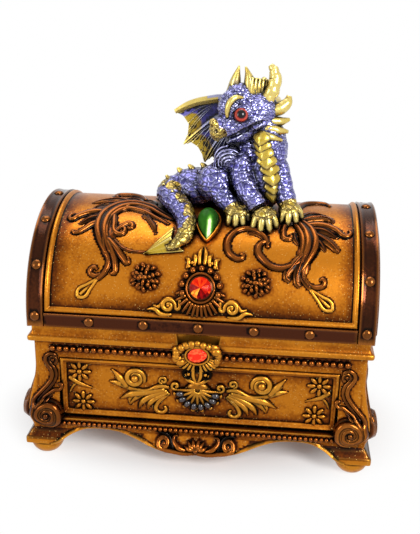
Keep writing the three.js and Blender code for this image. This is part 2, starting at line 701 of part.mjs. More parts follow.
// Leaf and scroll ornament hanging in the middle of the front skirt
function skirtPendant() {
  const edge = FOOT_HEIGHT + PLINTH_EDGE;
  const edgeY = -HALF_Y - PLINTH_OUTSET;
  const waistY = -HALF_Y - wallOutset(WAIST_HEIGHT);
  const face = (z) => THREE.MathUtils.lerp(edgeY, waistY, Math.max(z - edge, 0) / (WAIST_HEIGHT - edge));
  const at = (x, z) => [x, face(z), z];
  const radii = [1, 1, 0.8, 0.8].map((share) => share * PENDANT_RELIEF);
  const stroke = [[-0.1, -0.55], [0.23, -0.55], [0.42, 0.9], [0.56, 0.78]];
  const strokes = [-1, 1].map((side) => rod(
    stroke.map(([across, up]) => at(side * across * PENDANT_WIDTH, edge + up * PENDANT_RELIEF)),
    radii, STROKE_SIDES, STROKE_STEPS,
  ));
  const leafZ = edge + PENDANT_RELIEF * 0.45;
  const leafSeat = frontSeat(0, leafZ, face(leafZ));
  const leaf = boss(leafSeat, PENDANT_WIDTH * 0.15, PENDANT_WIDTH * 0.12, PENDANT_RELIEF);
  const skin = mitred(HALF_X, HALF_Y, [
    [PLINTH_OUTSET + SEAT_GAP, 0],
    [PLINTH_OUTSET + SEAT_GAP, edge],
    ...wallStations(SEAT_GAP),
  ]);
  return joined([leaf, ...strokes]).subtract(skin).subtract(beadRing(LOWER_BEADS, SEAT_GAP));
}

// Lid
function barrelShape(grow, bottom) {
  const half = LID_Y + grow;
  const shape = new THREE.Shape();
  shape.moveTo(-half, bottom);
  shape.lineTo(half, bottom);
  shape.lineTo(half, SPRING_Z);
  shape.absellipse(0, SPRING_Z, half, LID_RISE + grow, 0, Math.PI, false, 0);
  return shape;
}

function barrel(grow, bottom, x0, x1) {
  return alongX(barrelShape(grow, bottom), x0, x1);
}

function barrelSkin() {
  return barrel(SEAT_GAP, 0, -LID_WIDTH, LID_WIDTH);
}

function lidShell() {
  const half = LID_WIDTH / 2;
  const inside = half - LID_WALL;
  const outer = barrel(0, LID_BOTTOM, -half, half);
  const hollow = barrel(-LID_WALL, LID_BOTTOM - CUT_OVER, -inside, inside);
  return outer.subtract(hollow).subtract(hingeMortises()).subtract(screwHoles(SCREW_LID_Z));
}

function rivet(seat) {
  return boss(seat, RIVET_RADIUS, RIVET_RADIUS, RIVET_RISE);
}

function lidStrap() {
  const outer = barrel(STRAP_GROW, LID_BOTTOM, STRAP_INNER_X, LID_WIDTH / 2);
  const rivets = [];
  for (let i = 0; i < STRAP_RIVETS; i += 1) {
    const angle = THREE.MathUtils.lerp(2, 178, i / (STRAP_RIVETS - 1));
    rivets.push(rivet(barrelSeat(LID_WIDTH / 2 - STRAP_WIDTH / 2, angle, STRAP_GROW)));
  }
  return outer.subtract(barrelSkin()).add(joined(rivets)).subtract(barrelSkin());
}

function lidBand() {
  const reach = STRAP_INNER_X - SEAT_GAP;
  const bar = block(-reach, reach, -LID_Y - STRAP_GROW, -LID_Y - SEAT_GAP, LID_BOTTOM, BAND_TOP);
  const rivets = [];
  for (let i = 0; i < BAND_RIVETS; i += 1) {
    const x = RIVET_PITCH * (i - (BAND_RIVETS - 1) / 2);
    rivets.push(rivet(frontSeat(x, (LID_BOTTOM + BAND_TOP) / 2, -LID_Y - STRAP_GROW)));
  }
  return bar.add(joined(rivets));
}

function lidTrim() {
  const outer = STRAP_INNER_X - SEAT_GAP;
  const low = BAND_TOP + SEAT_GAP;
  const grow = SEAT_GAP + TRIM_THICKNESS;
  const left = barrel(grow, 0, -outer, TRIM_WIDTH - outer);
  const right = barrel(grow, 0, outer - TRIM_WIDTH, outer);
  const rails = barrel(grow, 0, -outer, outer).intersect(block(
    -outer, outer, -RIM_DEPTH, RIM_DEPTH, low, low + TRIM_WIDTH,
  ));
  const below = block(-LID_WIDTH, LID_WIDTH, -RIM_DEPTH, RIM_DEPTH, -CUT_OVER, low);
  return joined([left, right, rails]).subtract(barrelSkin()).subtract(below);
}

function lidEnd() {
  const x = LID_WIDTH / 2 + SEAT_GAP;
  return barrel(STRAP_GROW - END_INSET, LID_BOTTOM + END_INSET / 2, x, x + END_THICKNESS);
}

// Lid ornaments: a stroke goes by shares of the half width between the straps, and by barrel angles
function lidStroke(points, radii) {
  const path = points.map(([across, degrees]) => barrelPoint(across * STRAP_INNER_X, degrees).toArray());
  return rod(path, radii.map((share) => share * SPRAY_RADIUS), STROKE_SIDES, STROKE_STEPS);
}

// Right-hand acanthus spray: leaves round a hub, a long stem to a drop leaf and a scroll to the middle
function lidSpray() {
  const strokes = [
    lidStroke([[0.64, 60], [0.72, 67], [0.808, 71]], [1.4, 1.3, 0.5]),
    lidStroke([[0.64, 60], [0.784, 60], [0.904, 58]], [1.4, 1.4, 0.5]),
    lidStroke([[0.656, 57], [0.752, 53], [0.84, 48]], [1.4, 1.3, 0.5]),
    lidStroke([[0.65, 66], [0.672, 60], [0.68, 52], [0.648, 42]], [0.8, 1.5, 1.5, 1.2]),
    lidStroke([[0.648, 43], [0.64, 34], [0.696, 25], [0.808, 15.4]], [1.2, 1, 0.9, 1.3]),
    lidStroke([[0.656, 44], [0.6, 36], [0.602, 27]], [1.2, 1, 0.9]),
    lidStroke([[0.656, 46], [0.56, 38], [0.538, 31]], [1.1, 0.9, 0.8]),
    lidStroke([[0.64, 42], [0.496, 37], [0.392, 45], [0.416, 52]], [1.1, 0.9, 0.9, 0.6]),
    lidStroke([[0.656, 62], [0.576, 57.5], [0.512, 55.5]], [1.1, 0.8, 0.5]),
  ];
  return joined(strokes).subtract(barrelSkin()).subtract(trimGuard());
}

// Space kept clear for the moulding round the barrel panel
function trimGuard() {
  const inner = STRAP_INNER_X - TRIM_WIDTH - 2 * SEAT_GAP;
  const wide = barrel(RIM_DEPTH, 0, inner, LID_WIDTH);
  const low = block(-LID_WIDTH, LID_WIDTH, -RIM_DEPTH, RIM_DEPTH, 0, BAND_TOP + TRIM_WIDTH + 2 * SEAT_GAP);
  return wide.add(low);
}

function lidCrest() {
  const ring = ROUND_GEM_RADIUS + CREST_RING;
  const lift = CREST_RELIEF / 2;
  const lobe = (across, turn, wide, tall, relief = 1) => boss(
    barrelSeat(across * ROUND_GEM_RADIUS, CREST_ANGLE + turn),
    wide * ROUND_GEM_RADIUS, tall * ROUND_GEM_RADIUS, relief * CREST_RELIEF,
  );
  const collar = boss(barrelSeat(0, CREST_ANGLE), ring * 1.15, ring * 1.15, CREST_RELIEF * 1.5);
  const lobes = [lobe(0, 19, 0.4, 0.88), lobe(0, 13, 1.32, 0.6), lobe(0, -9, 1.9, 0.8)];
  for (const side of [-1, 1]) {
    lobes.push(lobe(side * 2.64, -9.4, 0.8, 0.68));
    lobes.push(lobe(side * 1.68, -6, 0.88, 0.64));
    lobes.push(lobe(side * 1.32, 3, 0.52, 0.6));
    lobes.push(lobe(side * 3.6, -11.4, 0.6, 0.24, 0.6));
  }
  const gemSeat = barrelSeat(0, CREST_ANGLE, lift);
  const hole = roundGem(ROUND_GEM_RADIUS + SEAT_GAP, CREST_RELIEF * 4, 1, gemSeat, -SEAT_GAP);
  const clear = joined([hole, barrelSkin(), trimGuard(), dropBlock(DROP_WALL + SEAT_GAP)]);
  const body = joined([collar, ...lobes]).subtract(clear);
  addPiece("lid_crest", body, "dark");
  addPiece("crest_gem", roundGem(ROUND_GEM_RADIUS, ROUND_GEM_RISE, 0.06, gemSeat, 0), "red");
}

// A faceted stone: a flat back and facets up to a point or a table
function roundGem(radius, rise, table, seat, lift) {
  const geometry = new THREE.CylinderGeometry(radius * table, radius, rise, ROUND_SIDES);
  geometry.translate(0, rise / 2 + lift, 0);
  geometry.rotateX(Math.PI / 2);
  geometry.applyMatrix4(seat);
  return solidOf(geometry);
}

function lidRosette() {
  const flower = boss(barrelSeat(ROSETTE_X, ROSETTE_ANGLE), ROSETTE_RADIUS, ROSETTE_RADIUS, ROSETTE_RELIEF);
  return flower.subtract(barrelSkin());
}

// A drop outline, its point downwards
function dropRing(grow, shrink, z) {
  const ring = [];
  const sides = ROUND_SIDES * 1.5;
  const half = DROP_WIDTH / 2;
  const long = DROP_LENGTH / 2;
  for (let i = 0; i < sides; i += 1) {
    const angle = (2 * Math.PI * i) / sides;
    const narrow = Math.pow((1 + Math.sin(angle)) / 2, 0.45) * 1.12;
    const x = Math.cos(angle) * Math.min(narrow, 1) * half * shrink;
    const y = Math.sin(angle) * long * shrink;
    ring.push(vec(x + Math.cos(angle) * grow, y + Math.sin(angle) * grow, z));
  }
  return ring;
}

function dropSeat() {
  const lean = radians(DROP_LEAN);
  const out = vec(0, -Math.cos(lean), Math.sin(lean));
  const up = vec(0, Math.sin(lean), Math.cos(lean));
  return seatAt(vec(DROP_X, -DROP_BACK, lidHeight(-DROP_BACK) + DROP_LIFT), vec(1, 0, 0), up, out);
}

function dropSolid(rings) {
  const geometry = loft(rings);
  geometry.applyMatrix4(dropSeat());
  return solidOf(geometry);
}

function dropBlock(grow) {
  return dropSolid([dropRing(grow, 1, -DROP_LENGTH), dropRing(grow, 1, DROP_RISE * 0.6 + grow - DROP_WALL)]);
}

function dropSetting() {
  const pocket = dropSolid([dropRing(SEAT_GAP, 1, -SEAT_GAP), dropRing(SEAT_GAP, 1, DROP_LENGTH)]);
  const stone = dropSolid([
    dropRing(0, 1, 0),
    dropRing(0, 1, DROP_RISE * 0.35),
    dropRing(0, 0.82, DROP_RISE * 0.75),
    dropRing(0, 0.4, DROP_RISE),
  ]);
  addPiece("drop_bezel", dropBlock(DROP_WALL).subtract(pocket).subtract(barrelSkin()), "gold");
  addPiece("drop_gem", stone, "green");
}

// Dragon: places and radii are in steps of its drawing
function perched([x, y, lift]) {
  const side = y * DRAGON_STEP;
  return [x * DRAGON_STEP, side, lidHeight(side) + lift * DRAGON_STEP];
}

function form(middle, radii) {
  return ball(perched(middle), radii.map((radius) => radius * DRAGON_STEP));
}

function flesh(path, radii) {
  return limb(path.map(perched), radii.map((radius) => radius * DRAGON_STEP));
}

function dragonTrunk() {
  return joined([
    form([-6, 1, 6], [12.6, 10, 8.6]),
    form([7, 0, 8], [13, 9.5, 10.5]),
    form([22.5, -3, 13.1], [9.6, 9.5, 15]),
    form([16, -1, 20], [8.5, 8, 11]),
    flesh([[23, -3, 20.1], [24, -3, 28.1], [20, -2, 37]], [9, 8, 7]),
  ]);
}

function dragonHead() {
  return joined([
    form([17.5, -2.5, 40.1], [10.5, 8.6, 9]),
    form([11.5, -4.6, 43.2], [7, 6.4, 8]),
    flesh([[14, -3.6, 38.6], [7, -6.8, 36], [0.8, -9.6, 33.8]], [7.4, 6, 4.4]),
    flesh([[18, -2.4, 33.1], [11, -5, 30.9], [4.5, -8, 30.5]], [5, 4, 2.6]),
  ]);
}

// Eyes, horns and ears come in pairs on the two sides of the head, which looks left and a little forward
const HEAD_ASIDE = vec(0.43, -0.9, 0);

function aside(point, steps) {
  return vec(...point).addScaledVector(HEAD_ASIDE, steps * DRAGON_STEP).toArray();
}

function dragonHorns() {
  const pairs = [
    { root: [10.5, -4.6, 45.2], tip: [12, -4, 57.2], spread: 2.6, thick: 1 },
    { root: [19, -1.4, 45], tip: [23, 0.4, 58.6], spread: 3.6, thick: 1.2 },
    { root: [24, 0, 41], tip: [31, 3, 46.1], spread: 5, thick: 1.2 },
    { root: [24, 0, 36], tip: [30, 3, 35.1], spread: 5.6, thick: 1 },
  ];
  const horns = [];
  for (const { root, tip, spread, thick } of pairs) {
    for (const side of [-1, 1]) {
      const ends = [root, tip].map((point) => aside(perched(point), side * spread));
      const middle = ends[0].map((value, i) => (value + ends[1][i]) / 2);
      const radii = [1, 1, 0.27].map((share) => share * HORN_RADIUS * thick);
      horns.push(rod([ends[0], middle, ends[1]], radii, STROKE_SIDES, 3));
    }
  }
  return joined(horns);
}

function dragonLegs() {
  const legs = [
    { path: [[14, -6, 18.4], [16, -13, 10.9], [21, -18, 2.8]], paw: [23.5, -19.5, 2.9] },
    { path: [[28, -4, 15.2], [31, -8.5, 6.8], [33.2, -11, 1.4]], paw: [33.6, -12.6, 1.8] },
    { path: [[4, -6, 10.4], [7, -12, 6.7], [11.5, -15.5, 2.8]], paw: [13, -17.5, 3] },
    { path: [[2, 6, 9.4], [5, 13, 5.9], [8, 16, 3]], paw: [10, 18, 2.8] },
  ];
  const solids = [];
  for (const { path, paw } of legs) {
    solids.push(limb(path.map(perched), [1.2, 1, 0.9].map((share) => share * LEG_RADIUS)));
    solids.push(ball(perched(paw), [1.15, 1.1, 0.8].map((share) => share * LEG_RADIUS)));
  }
  solids.push(form([3, -7, 8.6], [7.4, 5.6, 8.4]));
  solids.push(form([3, 8, 8.7], [7.4, 5.6, 8.4]));
  return joined(solids);
}

// The tail comes round to the front and ends in a leaf that lies on the barrel; its Y is a share of the way
function dragonTail() {
  const way = -LID_Y * Math.cos(radians(TAIL_ANGLE));
  const path = [
    [-10, 0, 5], [-14.6, 0.195, 5.4], [-14.4, 0.41, 5.4],
    [-11, 0.618, 4.3], [-8.4, 0.827, 2.7], [-9.4, 0.976, 1.9],
  ];
  const places = path.map(([x, share, lift]) => perched([x, (share * way) / DRAGON_STEP, lift]));
  const radii = [1.5, 1.3, 1.15, 0.9, 0.6].map((share) => share * TAIL_RADIUS);
  const tail = rod(places, radii, LIMB_SIDES, LIMB_STEPS * 2);
  const leaf = [1.67, 0.75, 0.54].map((share) => share * TAIL_RADIUS);
  return tail.add(boss(barrelSeat(-14 * DRAGON_STEP, TAIL_ANGLE), ...leaf));
}

// Wing outline in its own plane; the second wing is folded behind the neck
const WING_OUTLINE = [
  [10, 17], [10, 43], [-3, 41.6], [-16, 37.4], [-9, 32.4], [-12, 23.8], [-5.4, 24], [-3, 16.6],
];
const WING_MIDDLE = [3, 30];
const WING_ROOT = 6; // wing plane behind the middle of the lid, in steps
const FOLDED_ROOT = 19; // root of the folded wing from the middle of the lid, in steps
const FOLDED_TURN = -112;

function wing(grow) {
  const points = WING_OUTLINE.map((place) => place.map((value, i) => (
    value * DRAGON_STEP + Math.sign(value - WING_MIDDLE[i]) * grow
  )));
  return new THREE.Shape(points.map(([x, z]) => new THREE.Vector2(x, CROWN_Z + z)));
}

function wingLeft(grow) {
  const half = WING_THICKNESS / 2 + grow;
  const plane = WING_ROOT * DRAGON_STEP;
  return alongY(wing(grow), plane - half, plane + half);
}

function wingRight(grow) {
  const geometry = geometryOf(wingLeft(grow));
  geometry.translate(-WING_OUTLINE[0][0] * DRAGON_STEP, -WING_ROOT * DRAGON_STEP, 0);
  geometry.rotateZ(radians(FOLDED_TURN));
  geometry.translate(FOLDED_ROOT * DRAGON_STEP, WING_ROOT * DRAGON_STEP, 0);
  return solidOf(geometry);
}

function dragonEye(side, grow) {
  return ball(aside(perched([9.6, -5.6, 40]), side * 7), Array(3).fill(EYE_RADIUS + grow));
}

function dragon() {
  const body = joined([dragonTrunk(), dragonHead(), dragonHorns(), dragonLegs(), dragonTail()]);
  const seats = [
    barrelSkin(), dropBlock(DROP_WALL + SEAT_GAP), wingLeft(SEAT_GAP), wingRight(SEAT_GAP),
    dragonEye(1, SEAT_GAP), dragonEye(-1, SEAT_GAP),
  ];
  addPiece("dragon_figure", body.subtract(joined(seats)), "blue");
  addPiece("dragon_wing_left", wingLeft(0), "blue");
  addPiece("dragon_wing_right", wingRight(0), "blue");
  addPiece("dragon_eye_left", dragonEye(-1, 0), "amber");
  addPiece("dragon_eye_right", dragonEye(1, 0), "amber");
}

// Hinges
const SCREW_BASE_Z = HINGE_Z - KNUCKLE_RADIUS - LEAF_HEIGHT / 2 + SCREW_RADIUS;
const SCREW_LID_Z = HINGE_Z + KNUCKLE_RADIUS + LEAF_HEIGHT / 2 - SCREW_RADIUS;

function hingeMortises() {
  const half = LEAF_WIDTH / 2 + PIN_HEAD + 2 * SEAT_GAP;
  const reach = LEAF_HEIGHT + KNUCKLE_RADIUS + SEAT_GAP;
  const cuts = [];
  for (const side of [-1, 1]) {
    const x = side * HINGE_X;
    cuts.push(block(x - half, x + half, LEAF_BACK, HALF_Y * 2, HINGE_Z - reach, HINGE_Z + reach));
  }
  return joined(cuts);
}

function screwAxes() {
  const half = SCREW_SPREAD / 2;
  return [-HINGE_X - half, half - HINGE_X, HINGE_X - half, HINGE_X + half];
}

function peg(radius, x, y0, y1, z) {
  const geometry = new THREE.CylinderGeometry(radius, radius, y1 - y0, BOSS_SIDES);
  geometry.translate(x, (y0 + y1) / 2, z);
  return solidOf(geometry);
}

function screwHoles(z) {
  const deep = SCREW_LENGTH + 2 * SEAT_GAP;
  return joined(screwAxes().map((x) => peg(SCREW_RADIUS + SEAT_GAP, x, LEAF_BACK - deep, HALF_Y, z)));
}

function screw(x, z) {
  const face = LEAF_BACK + SEAT_GAP + LEAF_THICKNESS + PIN_GAP;
  const shank = peg(SCREW_RADIUS, x, face - SCREW_LENGTH, face + SCREW_HEAD / 2, z);
  const head = peg(SCREW_HEAD_RADIUS, x, face, face + SCREW_HEAD, z);
  return shank.add(head);
}

function leafPlate(z0, z1, holeZ) {
  const y0 = LEAF_BACK + SEAT_GAP;
  const plate = block(HINGE_X - LEAF_WIDTH / 2, HINGE_X + LEAF_WIDTH / 2, y0, y0 + LEAF_THICKNESS, z0, z1);
  return plate.subtract(screwHoles(holeZ));
}

// The knuckles of one leaf, and the room that the other leaf leaves for them
function knuckles(spans, radius) {
  return joined(spans.map(([x0, x1]) => post(radius, x0, x1, HINGE_Y, HINGE_Z)));
}

function hinges() {
  const third = LEAF_WIDTH / 6;
  const left = HINGE_X - LEAF_WIDTH / 2;
  const right = HINGE_X + LEAF_WIDTH / 2;
  const outer = [[left, HINGE_X - third - PIN_GAP], [HINGE_X + third + PIN_GAP, right]];
  const inner = [[HINGE_X - third, HINGE_X + third]];
  const outerRoom = [[left - CUT_OVER, HINGE_X - third], [HINGE_X + third, right + CUT_OVER]];
  const innerRoom = [[HINGE_X - third - PIN_GAP, HINGE_X + third + PIN_GAP]];
  const bore = post(BORE_RADIUS, left - CUT_OVER, right + CUT_OVER, HINGE_Y, HINGE_Z);
  const room = KNUCKLE_RADIUS + 2 * PIN_GAP;
  const low = HINGE_Z - KNUCKLE_RADIUS - LEAF_HEIGHT + SEAT_GAP;
  const high = HINGE_Z + KNUCKLE_RADIUS + LEAF_HEIGHT - SEAT_GAP;
  const basePlate = leafPlate(low, HINGE_Z - LID_GAP, SCREW_BASE_Z).subtract(knuckles(innerRoom, room));
  const lidPlate = leafPlate(HINGE_Z + LID_GAP, high, SCREW_LID_Z).subtract(knuckles(outerRoom, room));
  const baseLeaf = basePlate.add(knuckles(outer, KNUCKLE_RADIUS)).subtract(bore);
  const lidLeaf = lidPlate.add(knuckles(inner, KNUCKLE_RADIUS)).subtract(bore);
  const pin = joined([
    post(PIN_RADIUS, left - PIN_GAP - PIN_HEAD / 2, right + PIN_GAP + PIN_HEAD / 2, HINGE_Y, HINGE_Z),
    post(PIN_HEAD_RADIUS, left - PIN_GAP - PIN_HEAD, left - PIN_GAP, HINGE_Y, HINGE_Z),
    post(PIN_HEAD_RADIUS, right + PIN_GAP, right + PIN_GAP + PIN_HEAD, HINGE_Y, HINGE_Z),
  ]);
  for (const [end, scale] of [["right", [1, 1, 1]], ["left", [-1, 1, 1]]]) {
    addPiece(`hinge_base_${end}`, baseLeaf, "brass", scale);
    addPiece(`hinge_lid_${end}`, lidLeaf, "brass", scale);
    addPiece(`hinge_pin_${end}`, pin, "brass", scale);
  }
  screwAxes().forEach((x, i) => {
    addPiece(`screw_base_${i + 1}`, screw(x, SCREW_BASE_Z), "brass");
    addPiece(`screw_lid_${i + 1}`, screw(x, SCREW_LID_Z), "brass");
  });
}

// The base
addPiece("base_shell", baseShell(), "gold");
addPiece("base_lining", lining(), "felt");
panelFrames();
addPiece("bead_row_upper", beadRing(UPPER_BEADS, 0), "gold");
addPiece("bead_row_lower", beadRing(LOWER_BEADS, 0), "gold");
cornerScrolls();
escutcheon();
addPiece("palmette", palmette(), "gold");
addPiece("panel_spray_right", panelSpray(), "gold");
addPiece("panel_spray_left", panelSpray(), "gold", [-1, 1, 1]);
addPiece("skirt_pendant", skirtPendant(), "gold");

// The lid
addPiece("lid_shell", lidShell(), "gold");
addPiece("lid_strap_right", lidStrap(), "dark");
addPiece("lid_strap_left", lidStrap(), "dark", [-1, 1, 1]);
addPiece("lid_band_front", lidBand(), "dark");
addPiece("lid_band_back", turned(lidBand(), 180).subtract(hingeMortises()), "dark");
addPiece("lid_trim", lidTrim(), "gold");
addPiece("lid_end_right", lidEnd(), "dark");
addPiece("lid_end_left", lidEnd(), "dark", [-1, 1, 1]);
lidCrest();
addPiece("lid_rosette_right", lidRosette(), "gold");
addPiece("lid_rosette_left", lidRosette(), "gold", [-1, 1, 1]);
addPiece("lid_spray_right", lidSpray(), "dark");
addPiece("lid_spray_left", lidSpray(), "dark", [-1, 1, 1]);
dropSetting();
dragon();
hinges();

export default chest;
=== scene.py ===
# %% [markdown]
# # A treasure chest keepsake box with a young dragon on its lid
#
# The real object is a small box of cast resin: a base with bowed walls, a barrel lid on two hinges, and a
# dragon glued to the top of the lid. Everything is painted by hand: gold over a dark wash that stays in the
# hollows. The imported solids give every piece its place, and this lesson dresses them one piece at a time.
# All drawing is done in millimetres and made metres at the very end of each piece.

import json
import math
import random
from bisect import bisect_right

import bmesh
import bpy
from bmesh.types import BMEdge, BMVert
from mathutils import Matrix, Quaternion, Vector, noise
from mathutils.bvhtree import BVHTree

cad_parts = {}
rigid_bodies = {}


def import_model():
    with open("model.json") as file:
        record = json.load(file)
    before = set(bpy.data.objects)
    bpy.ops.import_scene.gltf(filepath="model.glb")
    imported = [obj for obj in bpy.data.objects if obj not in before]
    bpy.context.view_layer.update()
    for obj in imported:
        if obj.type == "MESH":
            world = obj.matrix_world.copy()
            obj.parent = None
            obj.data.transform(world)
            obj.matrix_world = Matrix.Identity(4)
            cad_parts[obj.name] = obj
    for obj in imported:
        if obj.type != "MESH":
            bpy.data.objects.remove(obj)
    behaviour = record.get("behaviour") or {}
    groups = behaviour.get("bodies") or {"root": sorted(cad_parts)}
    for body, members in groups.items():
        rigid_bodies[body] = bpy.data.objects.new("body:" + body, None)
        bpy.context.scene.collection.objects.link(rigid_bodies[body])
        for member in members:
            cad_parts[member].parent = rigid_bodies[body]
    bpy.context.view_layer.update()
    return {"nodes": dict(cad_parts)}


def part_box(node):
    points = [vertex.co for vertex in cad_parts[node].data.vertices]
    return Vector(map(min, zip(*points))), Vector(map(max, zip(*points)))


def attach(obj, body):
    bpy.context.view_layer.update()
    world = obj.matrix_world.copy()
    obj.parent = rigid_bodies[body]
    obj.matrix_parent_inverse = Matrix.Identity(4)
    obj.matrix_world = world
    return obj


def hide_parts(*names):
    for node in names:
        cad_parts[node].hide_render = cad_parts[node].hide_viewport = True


for leftover in list(bpy.data.objects):
    bpy.data.objects.remove(leftover)
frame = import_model()
MM = 0.001

# %% [markdown]
# ## Camera
#
# The photograph looks down on the chest from the front, a little from the right, and is tipped by about
# one degree. A camera needs a place and a turn. The turn is built here from three directions, right, up
# and back, because that is exact, where aiming constraints would leave the small tip out.

# %% Camera at the photograph's angle
CAMERA_TARGET = Vector((0.55, 0.0, 73.4))
CAMERA_DISTANCE = 353.0
CAMERA_YAW, CAMERA_PITCH, CAMERA_TIP = (math.radians(a) for a in (4.9, 20.6, 1.2))
PHOTO_TALL = 534
FOCAL_PIXELS = 800.0


def put(name, data):
    """A new object in the scene."""
    thing = bpy.data.objects.new(name, data)
    bpy.context.scene.collection.objects.link(thing)
    return thing


def aim_camera():
    forward = Vector((
        -math.sin(CAMERA_YAW) * math.cos(CAMERA_PITCH),
        math.cos(CAMERA_YAW) * math.cos(CAMERA_PITCH),
        -math.sin(CAMERA_PITCH),
    ))
    level = Vector((math.cos(CAMERA_YAW), math.sin(CAMERA_YAW), 0))
    upright = level.cross(forward)
    right = level * math.cos(CAMERA_TIP) + upright * math.sin(CAMERA_TIP)
    up = upright * math.cos(CAMERA_TIP) - level * math.sin(CAMERA_TIP)
    lens = bpy.data.cameras.new("photo_camera")
    lens.sensor_fit = "VERTICAL"
    lens.sensor_height = 36
    lens.lens = FOCAL_PIXELS / PHOTO_TALL * lens.sensor_height
    lens.clip_start = 0.01
    camera = put("photo_camera", lens)
    place = (CAMERA_TARGET - forward * CAMERA_DISTANCE) * MM
    turn = Matrix((right, up, -forward)).transposed().to_4x4()
    camera.matrix_world = Matrix.Translation(place) @ turn
    bpy.context.scene.camera = camera
    return camera


camera = aim_camera()
print("camera at", [round(v, 4) for v in camera.location], "lens", round(camera.data.lens, 2))

# %% [markdown]
# ## Paint
#
# The maker paints the resin dark, wipes the paint off the high places, and drags an almost dry brush of gold
# over the edges. So one recipe makes nearly every finish here: a colour ramp over a wash and shade value,
# which is 1 deep in a hollow and 0 in the open, then a light colour where a brush and highlight value marks an
# edge. The first value is partly the maker's dark wash and partly painted shade in the hollows; the second is
# partly dry-brushed paint and partly painted highlight on edges and bumps. Both values are measured on the
# finished shapes near the end of the lesson and stored on their vertices.

# %% A recipe for antiqued paint
class Recipe:
    """The nodes of one finish under way, with short words for those that are needed here."""

    def __init__(self, tree):
        self.nodes, self.links = tree.nodes, tree.links

    def feed(self, socket, source):
        """A number or a colour is set on the socket, anything else is linked to it."""
        if isinstance(source, (int, float)):
            socket.default_value = source
        elif isinstance(source, tuple):
            socket.default_value = (*source, 1)
        else:
            self.links.new(source, socket)

    def finish(self, sockets):
        for name, source in sockets.items():
            self.feed(self.nodes["Principled BSDF"].inputs[name], source)

    def place(self):
        if "place" not in self.nodes:
            self.nodes.new("ShaderNodeTexCoord").name = "place"
        return self.nodes["place"].outputs["Object"]

    def noise(self, scale, detail=3.0):
        node = self.nodes.new("ShaderNodeTexNoise")
        for name, source in (("Vector", self.place()), ("Scale", scale), ("Detail", detail)):
            self.feed(node.inputs[name], source)
        return node.outputs["Fac"]

    def value(self, name):
        node = self.nodes.new("ShaderNodeAttribute")
        node.attribute_name = name
        return node.outputs["Fac"]

    def math(self, kind, *sources):
        node = self.nodes.new("ShaderNodeMath")
        node.operation = kind
        for socket, source in zip(node.inputs, sources):
            self.feed(socket, source)
        return node.outputs["Value"]

    def ramp(self, source, stops):
        node = self.nodes.new("ShaderNodeValToRGB")
        elements = node.color_ramp.elements
        while len(elements) < len(stops):
            elements.new(0.5)
        for element, (place, colour) in zip(elements, stops):
            element.position = place
            element.color = (*colour, 1)
        self.feed(node.inputs["Fac"], source)
        return node.outputs["Color"]

    def blend(self, share, first, second):
        node = self.nodes.new("ShaderNodeMix")
        node.data_type = "RGBA"
        for i, source in ((0, share), (6, first), (7, second)):
            self.feed(node.inputs[i], source)
        return node.outputs[2]

    def between(self, source, low, high, lowest=0.0, kind="LINEAR"):
        """0, or lowest, up to the low value, rising to 1 at the high one."""
        node = self.nodes.new("ShaderNodeMapRange")
        node.interpolation_type = kind
        for name, given in (("Value", source), ("From Min", low), ("From Max", high), ("To Min", lowest)):
            self.feed(node.inputs[name], given)
        return node.outputs["Result"]

    def bump(self, height, strength, depth):
        node = self.nodes.new("ShaderNodeBump")
        for name, source in (("Strength", strength), ("Distance", depth * MM), ("Height", height)):
            self.feed(node.inputs[name], source)
        self.finish({"Normal": node.outputs["Normal"]})


def new_finish(name):
    finish = bpy.data.materials.new(name)
    finish.use_nodes = True
    return finish, Recipe(finish.node_tree)


def flakes(mix, colour, flake):
    """Bright flake in the paint: a few of the cells of a fine pattern show a dot."""
    dots = mix.nodes.new("ShaderNodeTexVoronoi")
    mix.feed(dots.inputs["Scale"], 1700.0)
    mix.feed(dots.inputs["Vector"], mix.place())
    pick = mix.nodes.new("ShaderNodeSeparateColor")
    mix.feed(pick.inputs["Color"], dots.outputs["Color"])
    near = mix.math("LESS_THAN", dots.outputs["Distance"], 0.24)
    few = mix.math("GREATER_THAN", pick.outputs["Red"], 0.8)
    return mix.blend(mix.math("MULTIPLY", mix.math("MULTIPLY", near, few), 0.6), colour, flake)


def aged_paint(name, stops, brushed_and_highlight, metallic, roughness, coat, mottle=0.2, blotch=0.0, flake=None, gilt=None):
    """Paint over a dark wash and painted shade. stops run from open to deep; gilt gives a second ramp for
    gilded places.
    """
    finish, mix = new_finish(name)
    broad, patchy, fine = mix.noise(30.0, 2.0), mix.noise(160.0, 4.0), mix.noise(1100.0, 3.0)
    # The wash value darkens hollows: partly the maker's dark wash, partly painted shade.
    wash = mix.value("wash")
    for source, amount in ((broad, blotch), (patchy, mottle), (fine, mottle)):
        wash = mix.math("ADD", wash, mix.math("MULTIPLY_ADD", source, amount, -amount / 2))
    # The brush value lightens edges and bumps: partly dry-brushed paint, partly painted highlight.
    brush = mix.math("MULTIPLY", mix.value("brush"), mix.math("ADD", fine, 0.35))
    colour = mix.blend(brush, mix.ramp(wash, stops), brushed_and_highlight)
    if gilt:
        gilt_stops, gilt_brushed_and_highlight = gilt
        gilded = mix.blend(brush, mix.ramp(wash, gilt_stops), gilt_brushed_and_highlight)
        edge = mix.math("MULTIPLY_ADD", patchy, 0.36, mix.math("ADD", mix.value("gilt"), -0.18))
        colour = mix.blend(mix.between(edge, 0.38, 0.62), colour, gilded)
    if flake:
        colour = flakes(mix, colour, flake)
    mix.bump(fine, 0.3, 0.12)
    mix.finish({
        "Base Color": colour, "Metallic": metallic, "Specular IOR Level": 0.2,
        "Roughness": mix.math("MULTIPLY_ADD", patchy, 0.2, roughness - 0.1),
        "Coat Weight": coat, "Coat Roughness": 0.12,
    })
    return finish


